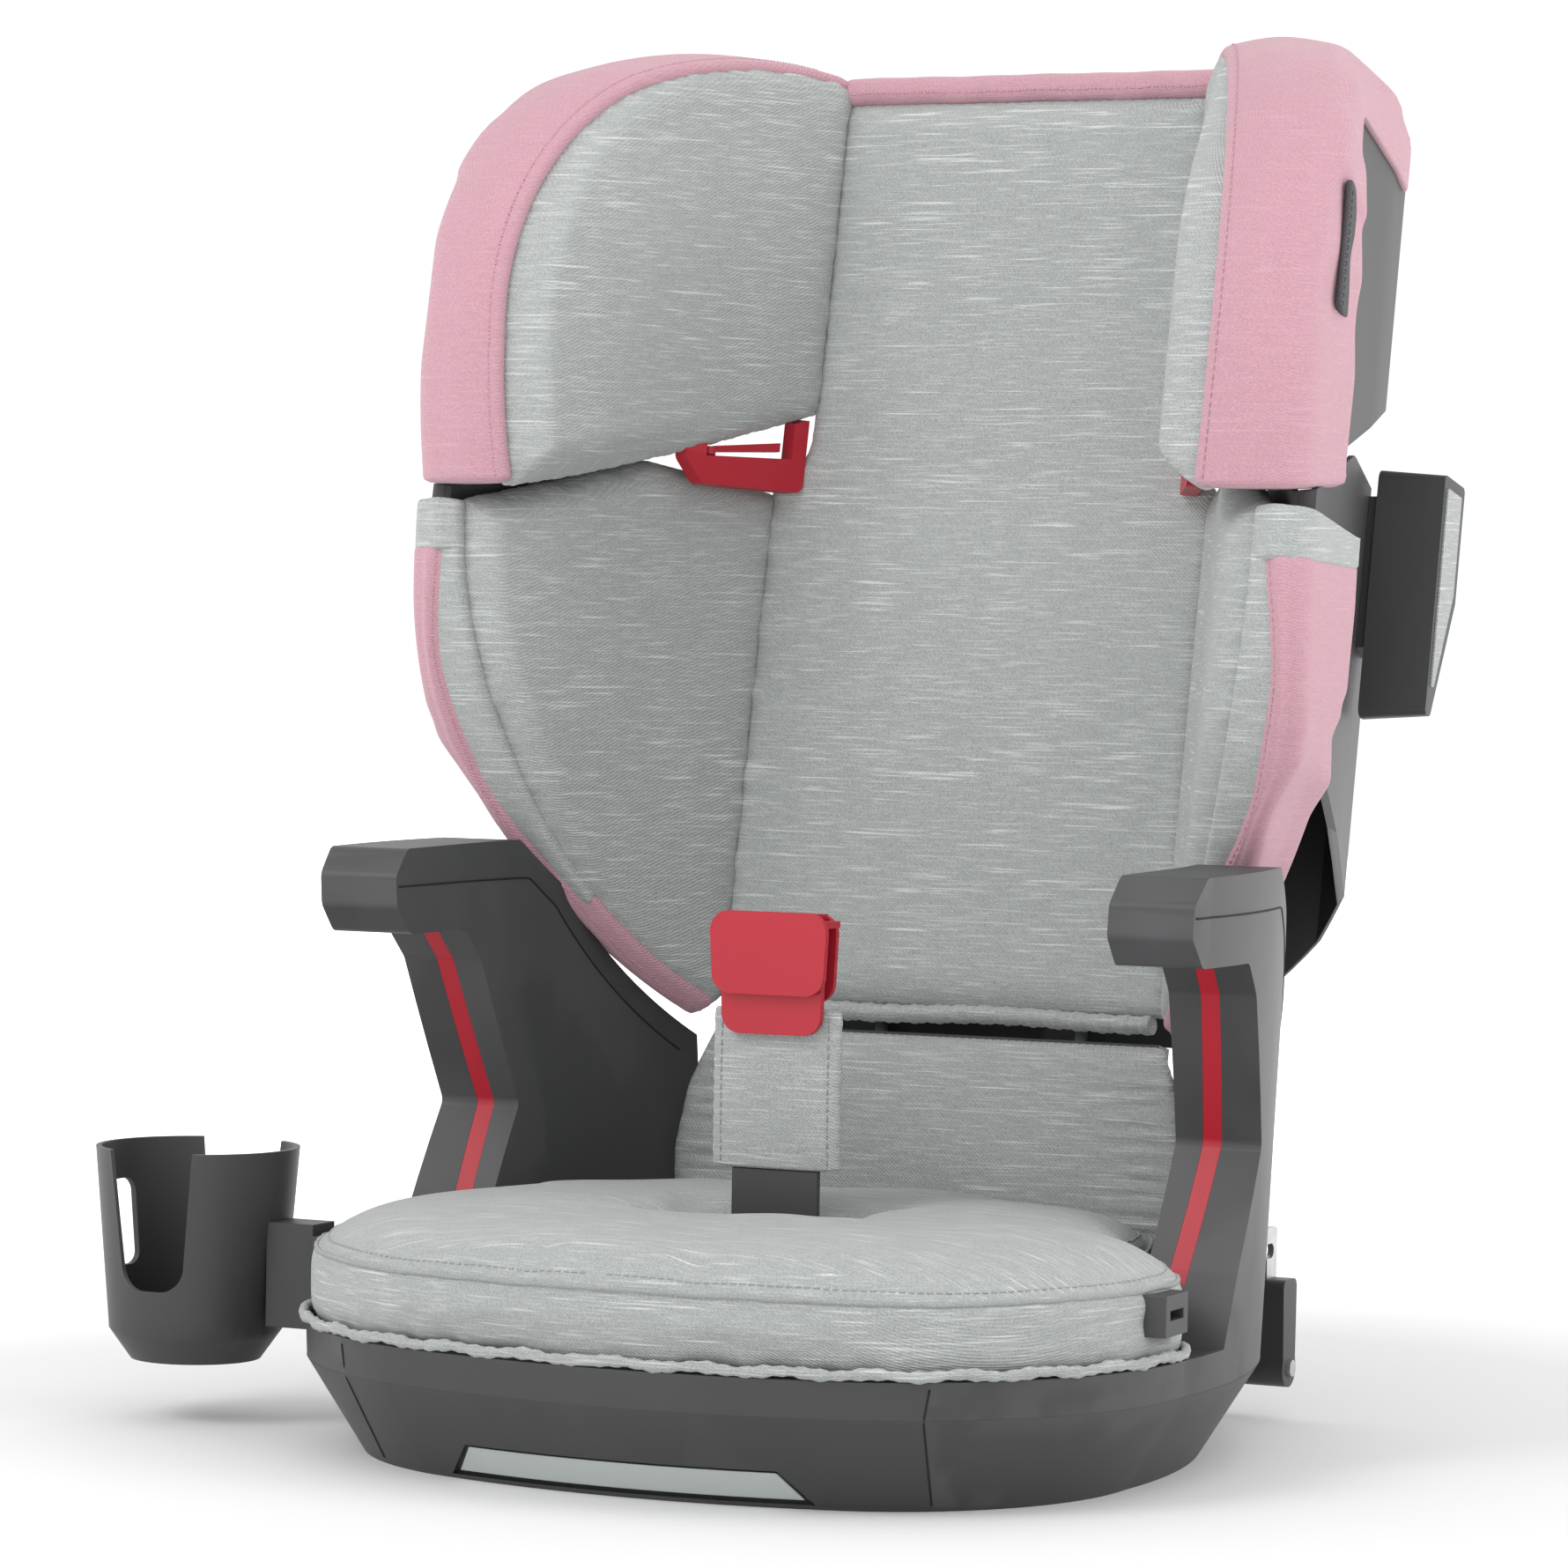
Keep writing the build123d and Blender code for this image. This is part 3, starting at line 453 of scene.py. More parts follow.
# ---------------------------------------------------------------- rigid parts
WELD_WITHIN, SHARP_ANGLE = 0.02 * MM, radians(34)
PLAIN_EDGE = 0.5                                # widths of the rounded edges, millimetres
WIDE_EDGES = {"arm_cap_left": 2.5, "arm_cap_right": 2.5, "side_shell_left": 1.2, "side_shell_right": 1.2,
              "arm_inner_left": 1.2, "arm_inner_right": 1.2, "cup": 0.9, "cup_bracket": 2.0, "pod_housing": 2.5,
              "belt_clip": 1.0, "belt_guides": 1.2, "head_shell": 1.2, "back_shell": 1.2, "height_lever": 2.0}
SOFT_NODES = {"seat_cover", "seat_foam", "rear_flap", "torso_cover", "torso_foam", "torso_hem", "torso_trim_left",
              "torso_trim_right", "head_cover", "head_foam", "head_trim_left", "head_trim_right", "side_tag",
              "strap_pad"}


def polish(node, material, width):
    """Softens a moulding's edges and gives it its material."""
    piece = frame["nodes"][node]
    piece.data.materials.clear()
    piece.data.materials.append(material)
    set_smooth(piece.data)
    weld = piece.modifiers.new("weld", "WELD")
    weld.merge_threshold = WELD_WITHIN
    bevel = piece.modifiers.new("edges", "BEVEL")
    bevel.width = width
    bevel.segments = 2
    bevel.limit_method = "ANGLE"
    bevel.angle_limit = SHARP_ANGLE
    even = piece.modifiers.new("even", "WEIGHTED_NORMAL")
    even.weight = 100
    even.keep_sharp = False


def dress_rigid_parts():
    for entry in frame["record"]["subparts"]:
        node = entry["node"]
        if node not in SOFT_NODES:
            polish(node, BY_SLOT[entry["material_slot"]], WIDE_EDGES.get(node, PLAIN_EDGE) * MM)


# Joint lines in millimetres. Each is looked for from outside the part, along a straight view.
CAP_JOINT_Z = 249                               # level part of the joint under an armrest cap
CAP_JOINT_LEVEL = [(-111, CAP_JOINT_Z), (8, CAP_JOINT_Z), (27, 235)]                 # (y, z)
CAP_JOINT_DROP = ((27, 235), (74, 185), (108, 159))                                  # arc that drops to the rear
FASCIA_JOINT = ((131, 3), (140, 57))                                                 # foot and top as (x, z)
BEFORE_FASCIA, BEFORE_ARM = -400, -200          # y from which the front joints are looked for
BESIDE_ARM, INSIDE_ARM = 300, 80                # x from which an armrest's sides are looked for
JOINT_BREAK = 14 * MM                           # a longer step along a joint means the view has missed it
TO_REAR = Vector((0, 1, 0))


def parting_line(name, points, toward, nodes):
    """Cord along the real joint where mouldings meet, coloured near-black as painted shade of its gap, found by
    looking from each point towards the part.
    """
    trees = [surface_of(frame["nodes"][node]) for node in nodes]
    hits = []
    for point in points:
        found = [tree.ray_cast(point * MM, toward) for tree in trees]
        near = [hit for hit in found if hit[0] is not None]
        if near:
            place = min(near, key=lambda hit: hit[3])[0]
            if not hits or (place - hits[-1]).length < JOINT_BREAK:
                hits.append(place)
    line = tube(name, even_points(hits, 3 * MM), 0.5 * MM, JOINT_SHADE, sides=6)
    attach(line, body_of_node(nodes[0]))


def dress_parting_lines():
    """Joints between fascia and side shells, and under the armrest caps."""
    cap_joint = even_points([Vector(p) for p in CAP_JOINT_LEVEL], 4) + arc_points(*CAP_JOINT_DROP, 24)
    for side, label in SIDES:
        foot, top = (Vector((side * x, BEFORE_FASCIA, z)) for x, z in FASCIA_JOINT)
        line = [foot.lerp(top, share) for share in even_steps(0, 1, 20)]
        parting_line(f"fascia_joint_{label}", line, TO_REAR, ["front_fascia", f"side_shell_{label}"])
        nodes = [f"arm_cap_{label}", f"side_shell_{label}", f"arm_inner_{label}"]
        for name, start, heading in (("outer", BESIDE_ARM, -side), ("inner", INSIDE_ARM, side)):
            line = [Vector((side * start, p.x, p.y)) for p in cap_joint]
            parting_line(f"cap_joint_{name}_{label}", line, Vector((heading, 0, 0)), nodes)
        line = [Vector((side * x, BEFORE_ARM, CAP_JOINT_Z)) for x in range(162, 206, 3)]
        parting_line(f"cap_joint_front_{label}", line, TO_REAR, nodes)


# ---------------------------------------------------------------- seat
SEAT_ARCS = [((0, -252), (57, -248), (112, -236)), ((112, -236), (176, -190), (207, -108)),
             ((207, -108), (196, -72), (160, -60)), ((160, -60), (155, -5), (128, 74))]     # half outline, (x, y)
SEAT_CENTRE = Vector((0, -90))
SEAT_HALF_WIDTH, SEAT_HALF_DEPTH = 0.2, 0.165
SEAT_TOP_FROM, SEAT_TOP_OVER = 0.070, 0.030     # the top's shaping sets in at this height, over this distance
SEAT_CROWN, SEAT_HOLLOW, SEAT_EDGE_DROP, SEAT_RIPPLE = 0.004, 0.004, 0.010, 0.0012
CUSHION_VOXEL, CUSHION_SMOOTHING = 5 * MM, 8
CUSHION_PRESSURE, CUSHION_CAP, CUSHION_FRAMES = 3.5, 7 * MM, 20
CLOTH_TENSION, CLOTH_BENDING = 12, 4
HEM_Z, HEM_INSET, HEM_PITCH, HEM_SIDES = 61, 2.5, 2.2 * MM, 10


def seat_outline(inset, z):
    """Cushion outline as points, drawn in by inset millimetres."""
    half = []
    for arc in SEAT_ARCS:
        half += arc_points(*arc, 14)[:-1]
    half.append(Vector(SEAT_ARCS[-1][-1]))
    points = []
    for point in half + [Vector((-p.x, p.y)) for p in reversed(half[1:])]:
        inward = (SEAT_CENTRE - point).normalized() * inset
        points.append(Vector((point.x + inward.x, point.y + inward.y, z)) * MM)
    return points


def settle(piece):
    """Inflates a closed piece as cloth and limits how far each point may move."""
    rest = [v.co.copy() for v in piece.data.vertices]
    cloth = piece.modifiers.new("cloth", "CLOTH")
    cloth.settings.use_pressure = True
    cloth.settings.uniform_pressure_force = CUSHION_PRESSURE
    cloth.settings.effector_weights.gravity = 0
    cloth.settings.tension_stiffness = CLOTH_TENSION
    cloth.settings.bending_stiffness = CLOTH_BENDING
    cloth.point_cache.frame_end = CUSHION_FRAMES
    for step in range(1, CUSHION_FRAMES + 1):
        bpy.context.scene.frame_set(step)
    bake(piece)
    bpy.context.scene.frame_set(1)
    for vertex, start in zip(piece.data.vertices, rest):
        move = vertex.co - start
        if move.length > CUSHION_CAP:
            vertex.co = start + move * (CUSHION_CAP / move.length)


def shape_seat(co):
    """Crowns the top, hollows it a little where the child sits and rolls its edge down."""
    top = max(0.0, min(1.0, (co.z - SEAT_TOP_FROM) / SEAT_TOP_OVER))
    across = co.x / SEAT_HALF_WIDTH
    along = (co.y - SEAT_CENTRE.y * MM) / SEAT_HALF_DEPTH
    reach = min(1.0, across * across + along * along)
    crown = (1 - reach) * SEAT_CROWN - SEAT_EDGE_DROP * reach**3
    hollow = SEAT_HOLLOW * (1 - min(1, abs(across) * 1.6)) * (1 - min(1, abs(along)))
    ripple = SEAT_RIPPLE * sin(co.x * 55) * sin(co.y * 40)
    return Vector((co.x, co.y, co.z + top * (crown - hollow + ripple)))


def grown_cushion(name, nodes, slot):
    """Cushion grown from CAD solids: remeshed, rounded, inflated, then shaped."""
    verts, faces = merged([frame["nodes"][node].data for node in nodes])
    piece = add_object(name, make_mesh(name, verts, faces), BY_SLOT[slot])
    remesh = piece.modifiers.new("remesh", "REMESH")
    remesh.mode = "VOXEL"
    remesh.voxel_size = CUSHION_VOXEL
    smooth = piece.modifiers.new("smooth", "SMOOTH")
    smooth.iterations = CUSHION_SMOOTHING
    smooth.factor = 0.5
    bake(piece)
    settle(piece)
    for vertex in piece.data.vertices:
        vertex.co = shape_seat(vertex.co)
    return finish_soft(piece, body_of_node(nodes[0]), nodes)


def gathered_hem():
    """Elastic lower edge of the seat cover, tucked every few millimetres, that hugs the top of the base."""
    spots = even_points(seat_outline(HEM_INSET, HEM_Z), HEM_PITCH)
    turns = [2 * pi * n / HEM_SIDES for n in range(HEM_SIDES)]
    rings = []
    for k, spot in enumerate(spots):
        after, before = spots[(k + 1) % len(spots)], spots[k - 1]
        out = (after - before).cross(Vector((0, 0, 1))).normalized()
        tuck = (0.35 * sin(k * 1.7) + 0.3 * sin(k * 0.61)) * MM
        centre = spot + Vector((0, 0, 0.6 * MM * sin(k * 0.37)))
        rings.append([centre + out * ((1.9 * MM + tuck) * cos(turn)) + Vector((0, 0, (2.4 * MM + tuck) * sin(turn)))
                      for turn in turns])
    attach(loft("seat_hem", rings, GREY_CLOTH, loop=True), "base")


def dress_seat():
    surface = surface_of(grown_cushion("seat_cushion", ["seat_cover", "seat_foam"], "grey_fabric"))
    seam_cord("seat_top_seam", seat_outline(7, 91), surface, 1.1 * MM, GREY_THREAD, "base")
    gathered_hem()
    stitch_row("seat_top_stitches", seat_outline(12, 96), surface, GREY_THREAD, "base")


# ---------------------------------------------------------------- padded sections of the back
class Section:
    """One padded section of the back: crease and tip of its wings in plan, and its outer side."""

    def __init__(self, name, body, crease, tip, outer, profile):
        self.name, self.body, self.crease, self.outer = name, body, crease, outer
        self.along = Vector((tip[0] - crease, tip[1])).normalized()
        self.inward = Vector((self.along.y, -self.along.x))
        self.profile = [Vector(p) for p in profile]

    def wing(self, side, reach, z, lift):
        """Point on the wing's inner face: reach from the crease, lift towards the child."""
        flat = Vector((self.crease, 0)) + self.along * reach + self.inward * lift
        return back(side * flat.x, flat.y, z)

    def face_edge(self, edge):
        """A wing's front edge as (reach, up) on its inner face, kept a little short of the edge itself."""
        return [((p.x + 3.5) / self.along.y, p.y) for p in edge if p.x < -4]

    def inner_x(self, y):
        return self.crease + self.along.x * max(0.0, y / self.along.y)

    def outer_x(self, y, z):
        """Outer side of the wing at a place (rearward, up), held within the section's front view."""
        wide = self.outer[-1][0]
        for (x0, y0), (x1, y1) in zip(self.outer, self.outer[1:]):
            if y <= y1:
                wide = x0 + (x1 - x0) * max(0.0, min(1.0, (y - y0) / (y1 - y0)))
                break
        for low, high in zip(self.profile, self.profile[1:]):
            if low.y <= z <= high.y:
                wide = min(wide, low.x + (high.x - low.x) * (z - low.y) / (high.y - low.y))
        return wide


# outer sides in plan as (x, rearward), then half outlines of the front view as (x, up)
TORSO = Section("torso", "backrest", 115, (198, -160),
                [(222, -162), (222, -146), (208, -60), (195, 0), (186, 38), (172, 50)],
                [(60, 70), *arc_points(*TORSO_SIDE, 24), (226, 215), (226, 420)])
HEAD = Section("head", "headrest", 96, (176, -180),
               [(206, -183), (222, -158), (212, -110), (199, -20), (190, 24), (176, 40)],
               [(223, 250), *arc_points(*HEAD_CORNER, 24), (136, 600)])


def ease(value):
    value = max(0.0, min(1.0, value))
    return value * value * (3 - 2 * value)


def within(point, corners):
    """Even-odd test of a point against a closed outline."""
    odd = False
    for a, b in zip(corners, corners[1:] + corners[:1]):
        if (a.y > point.y) != (b.y > point.y) and point.x < a.x + (b.x - a.x) * (point.y - a.y) / (b.y - a.y):
            odd = not odd
    return odd


def grid_within(corners, low, high, rim, pitch):
    """Staggered grid of points inside a closed outline, kept clear of its rim."""
    inside, step = [], pitch * 0.87
    for row in range(int((high.y - low.y) / step) + 1):
        for column in range(int((high.x - low.x) / pitch) + 1):
            point = low + Vector((pitch * (column + 0.5 * (row % 2)), step * row))
            if rim.find((point.x, point.y, 0))[2] > pitch * 0.6 and within(point, corners):
                inside.append(point)
    return inside


SWELL_OVER = 16.0      # distance from a panel's rim over which its swelling sets in, millimetres


def pillow(name, outline, place, material, depth, edge, swell_at, pitch=5.0):
    """Padded panel from a flat outline in millimetres: rounded rim, swollen face and a skirt hidden in the back.

    place takes x and y on the flat outline and a height above it, edge is the rim's radius, and swell_at gives
    the swelling at a point of the outline's plane.
    """
    corners = even_points([Vector(p) for p in outline] + [Vector(outline[0])], pitch)
    count = len(corners)
    low = Vector((min(p.x for p in corners), min(p.y for p in corners)))
    high = Vector((max(p.x for p in corners), max(p.y for p in corners)))
    rim = KDTree(count)
    for k, point in enumerate(corners):
        rim.insert((point.x, point.y, 0), k)
    rim.balance()
    loop = [(k, (k + 1) % count) for k in range(count)]
    points = corners + grid_within(corners, low, high, rim, pitch)
    flat, _, faces, _, _, _ = delaunay_2d_cdt(points, loop, [], 1, 1e-4)
    faces = [tuple(face) for face in faces]
    verts = []
    for point in flat:
        gap = rim.find((point.x, point.y, 0))[2]
        drop = -edge + edge * (1 - (1 - min(1.0, gap / edge))**2)**0.5
        verts.append(place(point.x, point.y, drop + swell_at(point) * ease(gap / SWELL_OVER)))

    edges = dict.fromkeys(pair for face in faces for pair in zip(face, face[1:] + face[:1]))
    rim_edges = [(a, b) for a, b in edges if (b, a) not in edges]
    below = {}
    for pair in rim_edges:
        for k in pair:
            if k not in below:
                below[k] = len(verts)
                verts.append(place(flat[k].x, flat[k].y, -depth))
    middle = (low + high) / 2
    centre = len(verts)
    verts.append(place(middle.x, middle.y, -depth))
    for a, b in rim_edges:
        faces.append((b, a, below[a], below[b]))
        faces.append((below[b], below[a], centre))
    return smooth_object(name, verts, faces, material)


def wing_panel(section, side, label, outline, swell_at):
    """Grey inner face of a wing."""
    def place(reach, z, lift):
        return section.wing(side, reach, z, lift)

    panel = pillow(f"{section.name}_wing_{label}", outline, place, GREY_CLOTH, 15, 7, swell_at)
    finish_soft(panel, section.body)


# ---------------------------------------------------------------- trims over the wings' front edges, millimetres
STAND_OFF = 2.8                        # how far a trim stands clear of the shell's outer side
SIDE_FROM, FLANK_FROM = 8.0, 22.0      # depths behind the edge where the side is felt for, and where it runs on
OUTER_ROLL, INNER_ROLL, TUCKED_ROLL = 17.0, 5.0, 4.0
LEAST_WIDTH = 9.0
STITCH_OFFSET = 5.0                    # topstitching's distance from the seam


def edge_normals(points):
    """Direction from a wing's front edge into the wing, at each point of the edge."""
    result = []
    for k, point in enumerate(points):
        along = points[min(k + 1, len(points) - 1)] - points[max(k - 1, 0)]
        result.append(Vector((along.y, -along.x)).normalized())
    return result


def trim_path(section, point, normal, start, depth, bulge, reach, lift):
    """Section through a trim at one point of the edge, as pairs of x and depth behind the edge."""
    def side_x(d):
        return section.outer_x(point.x + normal.x * d, point.y + normal.y * d) + STAND_OFF + lift

    x0 = section.inner_x(point.x) + start - lift
    x1 = max(side_x(SIDE_FROM), side_x(FLANK_FROM))
    if reach is not None:
        x1 = min(x1, x0 + reach)
    x1 = max(x1, x0 + LEAST_WIDTH)
    width = x1 - x0
    outer = min(OUTER_ROLL if reach is None else TUCKED_ROLL, width * 0.4)
    inner = min(INNER_ROLL, width * 0.3)
    path = [(x0, 9.0), (x0, 4.0)] if start < 1 else [(x0, 6.0), (x0 + 0.5, 1.5)]
    for step in range(1, 4):
        turn = pi / 2 * step / 4
        path.append((x0 + inner * (1 - cos(turn)), inner * (1 - sin(turn)) - 0.3 - lift))
    for share in (0.25, 0.5, 0.75):
        path.append((x0 + inner + (width - inner - outer) * share, -bulge * sin(pi * share) - lift))
    for step in range(5):
        turn = pi / 2 * step / 4
        path.append((x1 - outer * (1 - sin(turn)), outer * (1 - cos(turn)) - lift * cos(turn)))
    if reach is not None:
        return path + [(x1, 6), (x1, 7), (x1 - 1, 8), (x1 - 3, 9), ((x0 + x1) / 2, 10.0)]
    for share in (0.25, 0.5, 0.75, 0.95, 1.0):
        d = FLANK_FROM + (depth - FLANK_FROM) * share
        path.append((max(x1, side_x(d)), d))
    last = max(x1, side_x(depth))
    return path + [(last - 3, depth + 0.5), (last - 5, depth - 2), (x1 - 4, outer + 8), ((x0 + x1) / 2, 12.0)]


def add_trim(name, section, side, points, seam, wrap, bulge, slot, replaced=(), reach=None, lift=0.0):
    """Strip over a wing's front edge, from its seam on the inner face round to its outer side.

    seam, wrap and reach take a point of the edge and give the start on the inner face, the depth covered on the
    outer side, and, for a strip that stops on the front face, its width there. lift raises the whole strip.
    """
    rings = []
    for point, normal in zip(points, edge_normals(points)):
        path = trim_path(section, point, normal, seam(point), wrap(point, normal), bulge,
                         reach(point) if reach else None, lift)
        rings.append([back(side * x, point.x + normal.x * d, point.y + normal.y * d) for x, d in path])
    return finish_soft(loft(name, rings, BY_SLOT[slot]), section.body, replaced)


def edge_stitches(section, side, points, seam, ahead, trim, label):
    """Topstitching along a wing's front, drawn a little ahead of the edge and then laid on the trim."""
    line = []
    for point, normal in zip(points, edge_normals(points)):
        x = section.inner_x(point.x) + seam(point) + STITCH_OFFSET
        line.append(back(side * x, point.x - normal.x * ahead, point.y - normal.y * ahead))
    stitch_row(f"{section.name}_stitches_{label}", line, surface_of(trim), PINK_THREAD, section.body)


def no_seam(point):
    """Start of a trim that begins right at the wing's inner edge."""
    return 0.0


# ---------------------------------------------------------------- headrest
HEAD_WING_FOOT = [(-8, 383), (60, 352), (130, 323)]        # lower edge of a head wing's face, as (reach, up)
HEAD_WING_TOP = (-8, 551)
HEAD_OVER_TOP = [(10, 552.5), (22, 551), (36, 548)]        # where the pink front goes on rearward, (rearward, up)
HEAD_FOLD_Z = 494                                          # above this height the pink covers the outer side too
BAND_HALF, BAND_STEPS = 100, 48
TAB_FRONT, TAB_REAR, TAB_FOOT, TAB_HEIGHT = -153, -128, 392, 60


def head_swell(point):
    """Padding of a head wing: thin at the crease and towards the top."""
    return 3 + 12 * ease((point.x - 50) / 110) * ease((540 - point.y) / 120)


def head_wrap(point, normal):
    """Depth covered on the outer side: a broad band down the front, and all of the rounded top."""
    above = (point.y - HEAD_FOLD_Z) / max(0.3, -normal.y)
    return max(24.0, 64.0 * max(0.0, normal.x)**2, above if point.y > HEAD_FOLD_Z else 0.0)


def dress_head():
    """Head wings: grey inner panels, broad pink fronts that run over the top, and a pink band along the middle."""
    edge = even_points([Vector((-168, 305))] + edge_line(HEAD_EDGE), 5)
    over_top = edge + [Vector(p) for p in HEAD_OVER_TOP]
    hidden = {"left": ["head_cover", "head_foam", "head_trim_left"], "right": ["head_trim_right"]}
    for side, label in SIDES:
        wing_panel(HEAD, side, label, HEAD_WING_FOOT + HEAD.face_edge(edge) + [HEAD_WING_TOP], head_swell)
        trim = add_trim(f"head_front_{label}", HEAD, side, over_top, no_seam, head_wrap, 3.5, "pink_fabric",
                        hidden[label])
        edge_stitches(HEAD, side, edge[1:-2], no_seam, 2, trim, label)
    dress_head_band()


def dress_head_band():
    """Slightly wavy pink band along the top of the headrest, between the wings' fronts."""
    rings = []
    for x in even_steps(-BAND_HALF, BAND_HALF, BAND_STEPS):
        wave = 0.5 * sin(x * 0.21) + 0.4 * sin(x * 0.083 + 1)
        path = [(8, 538), (1, 540 + wave), (-1.5, 543 + wave), (-1, 550), (3, 554 + wave * 0.5), (14, 554.5),
                (36, 549), (38, 545), (20, 547), (8, 545)]
        rings.append([back(x, y, z) for y, z in path])
    band = finish_soft(loft("head_top_band", rings, PINK_CLOTH), "headrest")
    line = [back(x, -2, 543.5) for x in even_steps(-94, 94, 40)]
    stitch_row("head_top_stitches", line, surface_of(band), PINK_THREAD, "headrest")


def dress_tag():
    """Plain woven tab stitched to the outer side of the left head wing, folded over at its rear edge."""
    rings = []
    for k in range(17):
        share = k / 16
        rear = TAB_REAR - 10 * ease((share - 0.82) / 0.18)
        across = even_steps(TAB_FRONT, rear, 5)
        z = TAB_FOOT + TAB_HEIGHT * share
        outside = [(HEAD.outer_x(y, z) + 7.0 + 0.2 * sin(n * 2.0 + k * 0.6), y) for n, y in enumerate(across)]
        inside = [(HEAD.outer_x(y, z) + 3.6, y) for y in reversed(across)]
        rings.append([back(x, y, z) for x, y in outside + inside])
    tag = finish_soft(loft("side_tab", rings, WEBBING), "headrest", ["side_tag"])
    line = [back(HEAD.outer_x(-149, 400) + 9, -149, z) for z in even_steps(394, 450, 30)]
    stitch_row("side_tab_stitches", line, surface_of(tag), WEBBING, "headrest", 2.2 * MM)


# ---------------------------------------------------------------- torso, middle, hem and strap
TORSO_WING_FOOT, TORSO_WING_TOP = (-8, 92), [(175, 303), (73, 344), (-8, 344)]       # as (reach, up)
TORSO_TIP = Vector((-161.5, 304))
WAIST_FROM, WAIST_TO, CAP_FROM, PINK_TO = 122, 291, 272, 281      # heights where the torso's strips begin and end
MIDDLE_HALF = [(118, 91), (118, 200), (118, 344), (112, 354), (101, 360), (99, 370), (99, 541)]      # (x, up)
REAR_HALF = [(128, -20), (132, 20), (128, 50), (116, 79)]                                            # (x, up)
HEM_HALF, HEM_STEPS, PIPING_SIDES = 110, 150, 12
# the strap stands on the base, so these are in the part's own frame
STRAP_FOOT, STRAP_LENGTH, STRAP_STEPS, STRAP_SIDES, STRAP_Y = 127, 73, 37, 24, -73


def torso_swell(point):
    """Padding of a torso wing: thin at the crease."""
    return 2 + 7 * ease((point.x - 40) / 110)


def torso_wrap(point, normal):
    """Depth covered on the outer side: broad where the edge stands upright, slimmer where it slants."""
    return 24.0 + 46.0 * max(0.0, normal.x)**2


def torso_seam(point):
    """How far the pink starts from the inner edge of a torso wing: pinched at half height."""
    return 15.0 * ease((point.y - 120) / 60) * (1 - 0.75 * ease((point.y - 215) / 75))


def sleeve_reach(point):
    """Width of the grey sleeve on a torso wing's front: it runs a little under the pink."""
    return torso_seam(point) + 9.0


def dress_torso():
    """Torso wings with slim pink fronts that stop short of the top."""
    edge = even_points(edge_line(TORSO_EDGE), 5)
    waist = [p for p in edge if WAIST_FROM < p.y < WAIST_TO]
    top = even_points([p for p in edge if p.y > CAP_FROM] + [TORSO_TIP], 3)
    pink_edge = [p for p in edge if p.y < PINK_TO]
    hidden = {"left": ["torso_cover", "torso_foam", "torso_trim_left"], "right": ["torso_trim_right"]}
    for side, label in SIDES:
        wing_panel(TORSO, side, label, [TORSO_WING_FOOT] + TORSO.face_edge(edge) + TORSO_WING_TOP, torso_swell)
        add_trim(f"torso_front_{label}", TORSO, side, waist, no_seam, torso_wrap, 0.5, "grey_fabric",
                 reach=sleeve_reach)
        add_trim(f"torso_cap_{label}", TORSO, side, top, no_seam, torso_wrap, 3.4, "grey_fabric", lift=0.5)
        trim = add_trim(f"torso_edge_{label}", TORSO, side, pink_edge, torso_seam, torso_wrap, 3.4, "pink_fabric",
                        hidden[label])
        edge_stitches(TORSO, side, pink_edge, torso_seam, 3, trim, label)


def mirrored(half):
    """Closed outline from its half on the positive side of x."""
    return half + [(-x, z) for x, z in reversed(half)]


def dress_middle():
    """One length of cloth runs down the middle from the headrest's top to the hem."""
    def rise(point):
        pillows = 4.0 * ease((110 - abs(point.x)) / 70)
        return pillows + 1.2 * sin(point.y * 0.026 + 0.6) - 3.0 * ease(1 - abs(point.y - 345) / 60)

    def place(x, z, h):
        return back(x, -h, z)

    panel = pillow("middle_panel", mirrored(MIDDLE_HALF), place, GREY_CLOTH, 12, 5, rise, 6)
    finish_soft(panel)
    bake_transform(panel)


def dress_hem():
    """Gathered elastic hem across the foot of the torso, with a fine tuck every few millimetres."""
    turns = [2 * pi * n / PIPING_SIDES for n in range(PIPING_SIDES)]
    rings = []
    for k, x in enumerate(even_steps(-HEM_HALF, HEM_HALF, HEM_STEPS)):
        tuck = 0.5 * sin(k * 2.1) + 0.35 * sin(k * 0.77)
        middle = 89 + 0.8 * sin(x * 0.05)
        rings.append([back(x, 4 + (6.4 + tuck) * cos(turn), middle + (4.6 + tuck) * sin(turn)) for turn in turns])
    finish_soft(loft("hem_piping", rings, GREY_CLOTH), "backrest", ["torso_hem"])


def dress_rear_panel():
    """Loose rear panel below the hem, with gathered side edges."""
    def rise(point):
        edge_share = ease((abs(point.x) - 75) / 45)
        return 2.5 + 1.6 * edge_share * sin(point.y * 0.75) + 1.5 * sin(point.x * 0.03 + point.y * 0.05)

    def place(x, z, h):
        return back(x, 1.5 - h, z)

    panel = pillow("rear_panel", mirrored(REAR_HALF), place, GREY_CLOTH, 7, 3, rise, 4)
    finish_soft(panel, "base", ["rear_flap"])


def signed_power(value, power):
    """Power that keeps the sign, to square off a circle's sine and cosine."""
    return abs(value)**power * (1 if value >= 0 else -1)


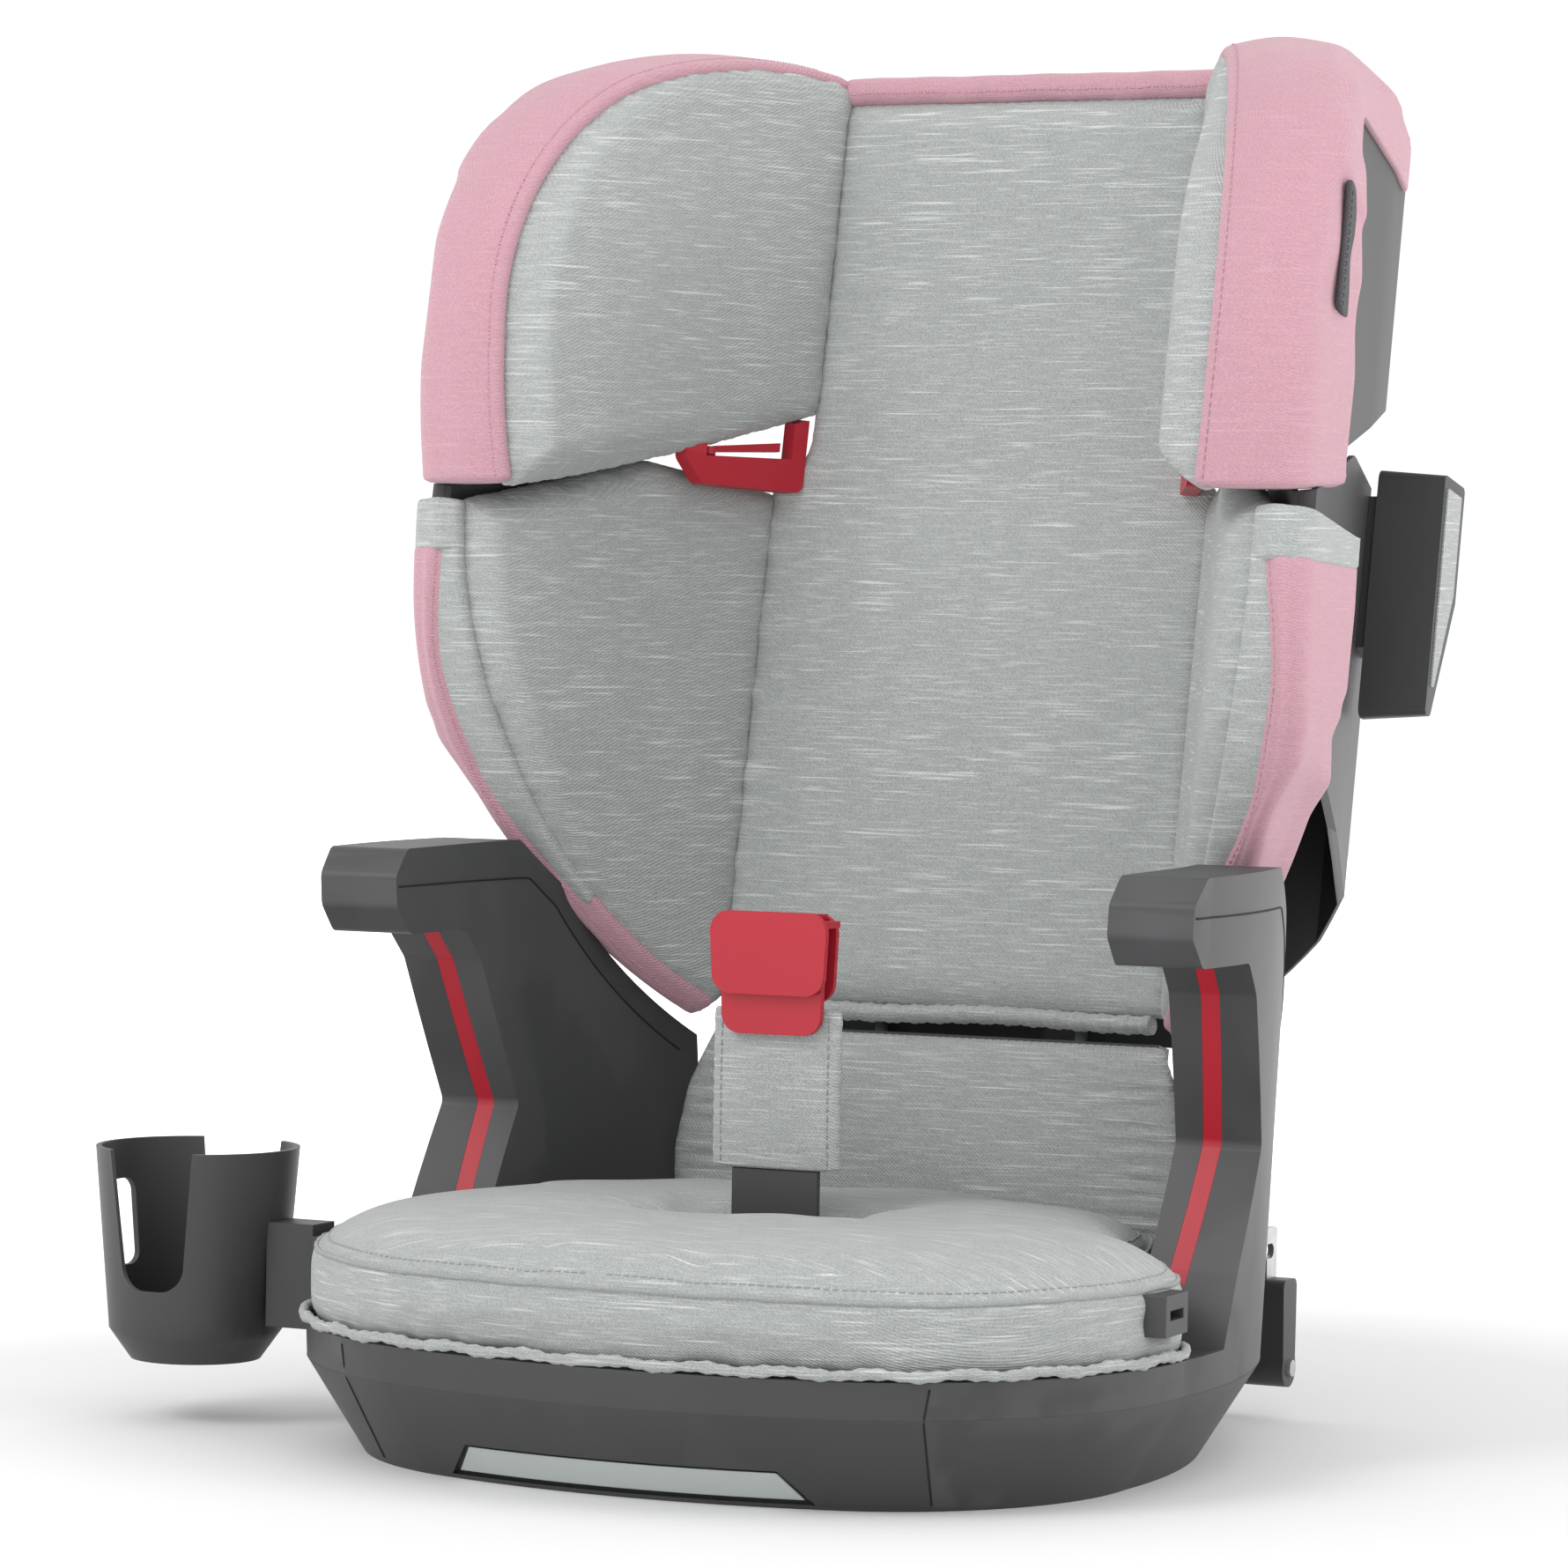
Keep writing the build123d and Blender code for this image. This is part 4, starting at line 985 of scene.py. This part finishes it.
def dress_strap():
    """Fabric sleeve round the webbing, a little barrelled and with puckered long seams."""
    turns = [2 * pi * n / STRAP_SIDES for n in range(STRAP_SIDES)]
    rings = []
    for k, z in enumerate(even_steps(STRAP_FOOT, STRAP_FOOT + STRAP_LENGTH, STRAP_STEPS)):
        thick = 3.6 + 1.2 * sin(pi * k / STRAP_STEPS)
        half = 31.5 + 0.4 * sin(k * 1.9)
        rings.append([Vector((half * signed_power(cos(turn), 0.55), STRAP_Y + thick * signed_power(sin(turn), 0.7),
                              z)) * MM for turn in turns])
    sleeve = finish_soft(loft("strap_sleeve", rings, GREY_CLOTH), "clip_strap", ["strap_pad"])
    surface = surface_of(sleeve)
    for x, label in ((-27, "right"), (27, "left")):
        line = [Vector((x, -80, z)) * MM for z in range(130, 199, 2)]
        stitch_row(f"strap_stitches_{label}", line, surface, GREY_THREAD, "clip_strap")


def dress_backrest():
    dress_head()
    dress_tag()
    dress_torso()
    dress_middle()
    dress_hem()
    dress_rear_panel()
    dress_strap()


# ---------------------------------------------------------------- stage
FLOOR_SIZE = 12.0
GLOW_FROM, GLOW_TO = 0.45, 1.5      # distances over which the floor brightens into the background
WORLD_STRENGTH = 1.06
LIGHTS_AIM = Vector((0, 0, 0.3))
CAMERA_AT = Vector((1.0862, -2.4, 0.3824))
CAMERA_TURN, CAMERA_DOWN, CAMERA_ROLL = radians(25.005), radians(1.844), radians(0.907)
CAMERA_LENS = 132.0


def make_stage():
    """Pale floor that fades into an even, bright background."""
    half = FLOOR_SIZE / 2
    corners = [(-half, -half, 0), (half, -half, 0), (half, half, 0), (-half, half, 0)]
    mesh = make_mesh("floor", corners, [(0, 1, 2, 3)])
    shader = Shader("floor")
    shader.bsdf.inputs["Base Color"].default_value = colour(0.80, 0.80, 0.80)
    shader.bsdf.inputs["Roughness"].default_value = 0.85
    position = shader.node("ShaderNodeTexCoord").outputs["Object"]
    distance = shader.node("ShaderNodeVectorMath", {0: position}, operation="LENGTH").outputs["Value"]
    shader.bsdf.inputs["Emission Color"].default_value = colour(1.0, 1.0, 1.0)
    shader.put(shader.bsdf.inputs["Emission Strength"], shader.ramp(distance, GLOW_FROM, GLOW_TO))
    add_object("floor", mesh, shader.material)
    world = bpy.data.worlds.new("studio")
    world.use_nodes = True
    background = world.node_tree.nodes["Background"]
    background.inputs["Color"].default_value = colour(1.0, 1.0, 1.0)
    background.inputs["Strength"].default_value = WORLD_STRENGTH
    bpy.context.scene.world = world
    bpy.context.scene.view_settings.view_transform = "Standard"


def add_light(name, place, size, power):
    light = bpy.data.lights.new(name, "AREA")
    light.shape = "DISK"
    light.size = size
    light.energy = power
    lamp = bpy.data.objects.new(name, light)
    lamp.location = place
    lamp.rotation_mode = "QUATERNION"
    lamp.rotation_quaternion = (LIGHTS_AIM - Vector(place)).to_track_quat("-Z", "Y")
    bpy.context.scene.collection.objects.link(lamp)


def make_lights():
    add_light("key", (-1.2, -2.0, 2.4), 1.4, 26)
    add_light("rim", (2.2, 0.4, 1.6), 1.2, 14)
    add_light("fill", (0.6, -3.0, 0.9), 1.8, 5)


def make_camera():
    right = Vector((cos(CAMERA_TURN), sin(CAMERA_TURN), 0))
    level = cos(CAMERA_DOWN)
    ahead = Vector((-sin(CAMERA_TURN) * level, cos(CAMERA_TURN) * level, -sin(CAMERA_DOWN)))
    up = right.cross(ahead)
    side = right * cos(CAMERA_ROLL) + up * sin(CAMERA_ROLL)
    lift = up * cos(CAMERA_ROLL) - right * sin(CAMERA_ROLL)
    camera = bpy.data.objects.new("camera", bpy.data.cameras.new("camera"))
    camera.data.lens = CAMERA_LENS
    camera.data.sensor_width = 36.0
    camera.data.clip_start, camera.data.clip_end = 0.05, 60
    turn = Matrix((side, lift, -ahead)).transposed().to_4x4()
    camera.matrix_world = Matrix.Translation(CAMERA_AT) @ turn
    bpy.context.scene.collection.objects.link(camera)
    bpy.context.scene.camera = camera


dress_rigid_parts()
dress_parting_lines()
dress_seat()
dress_backrest()
make_stage()
make_lights()
make_camera()
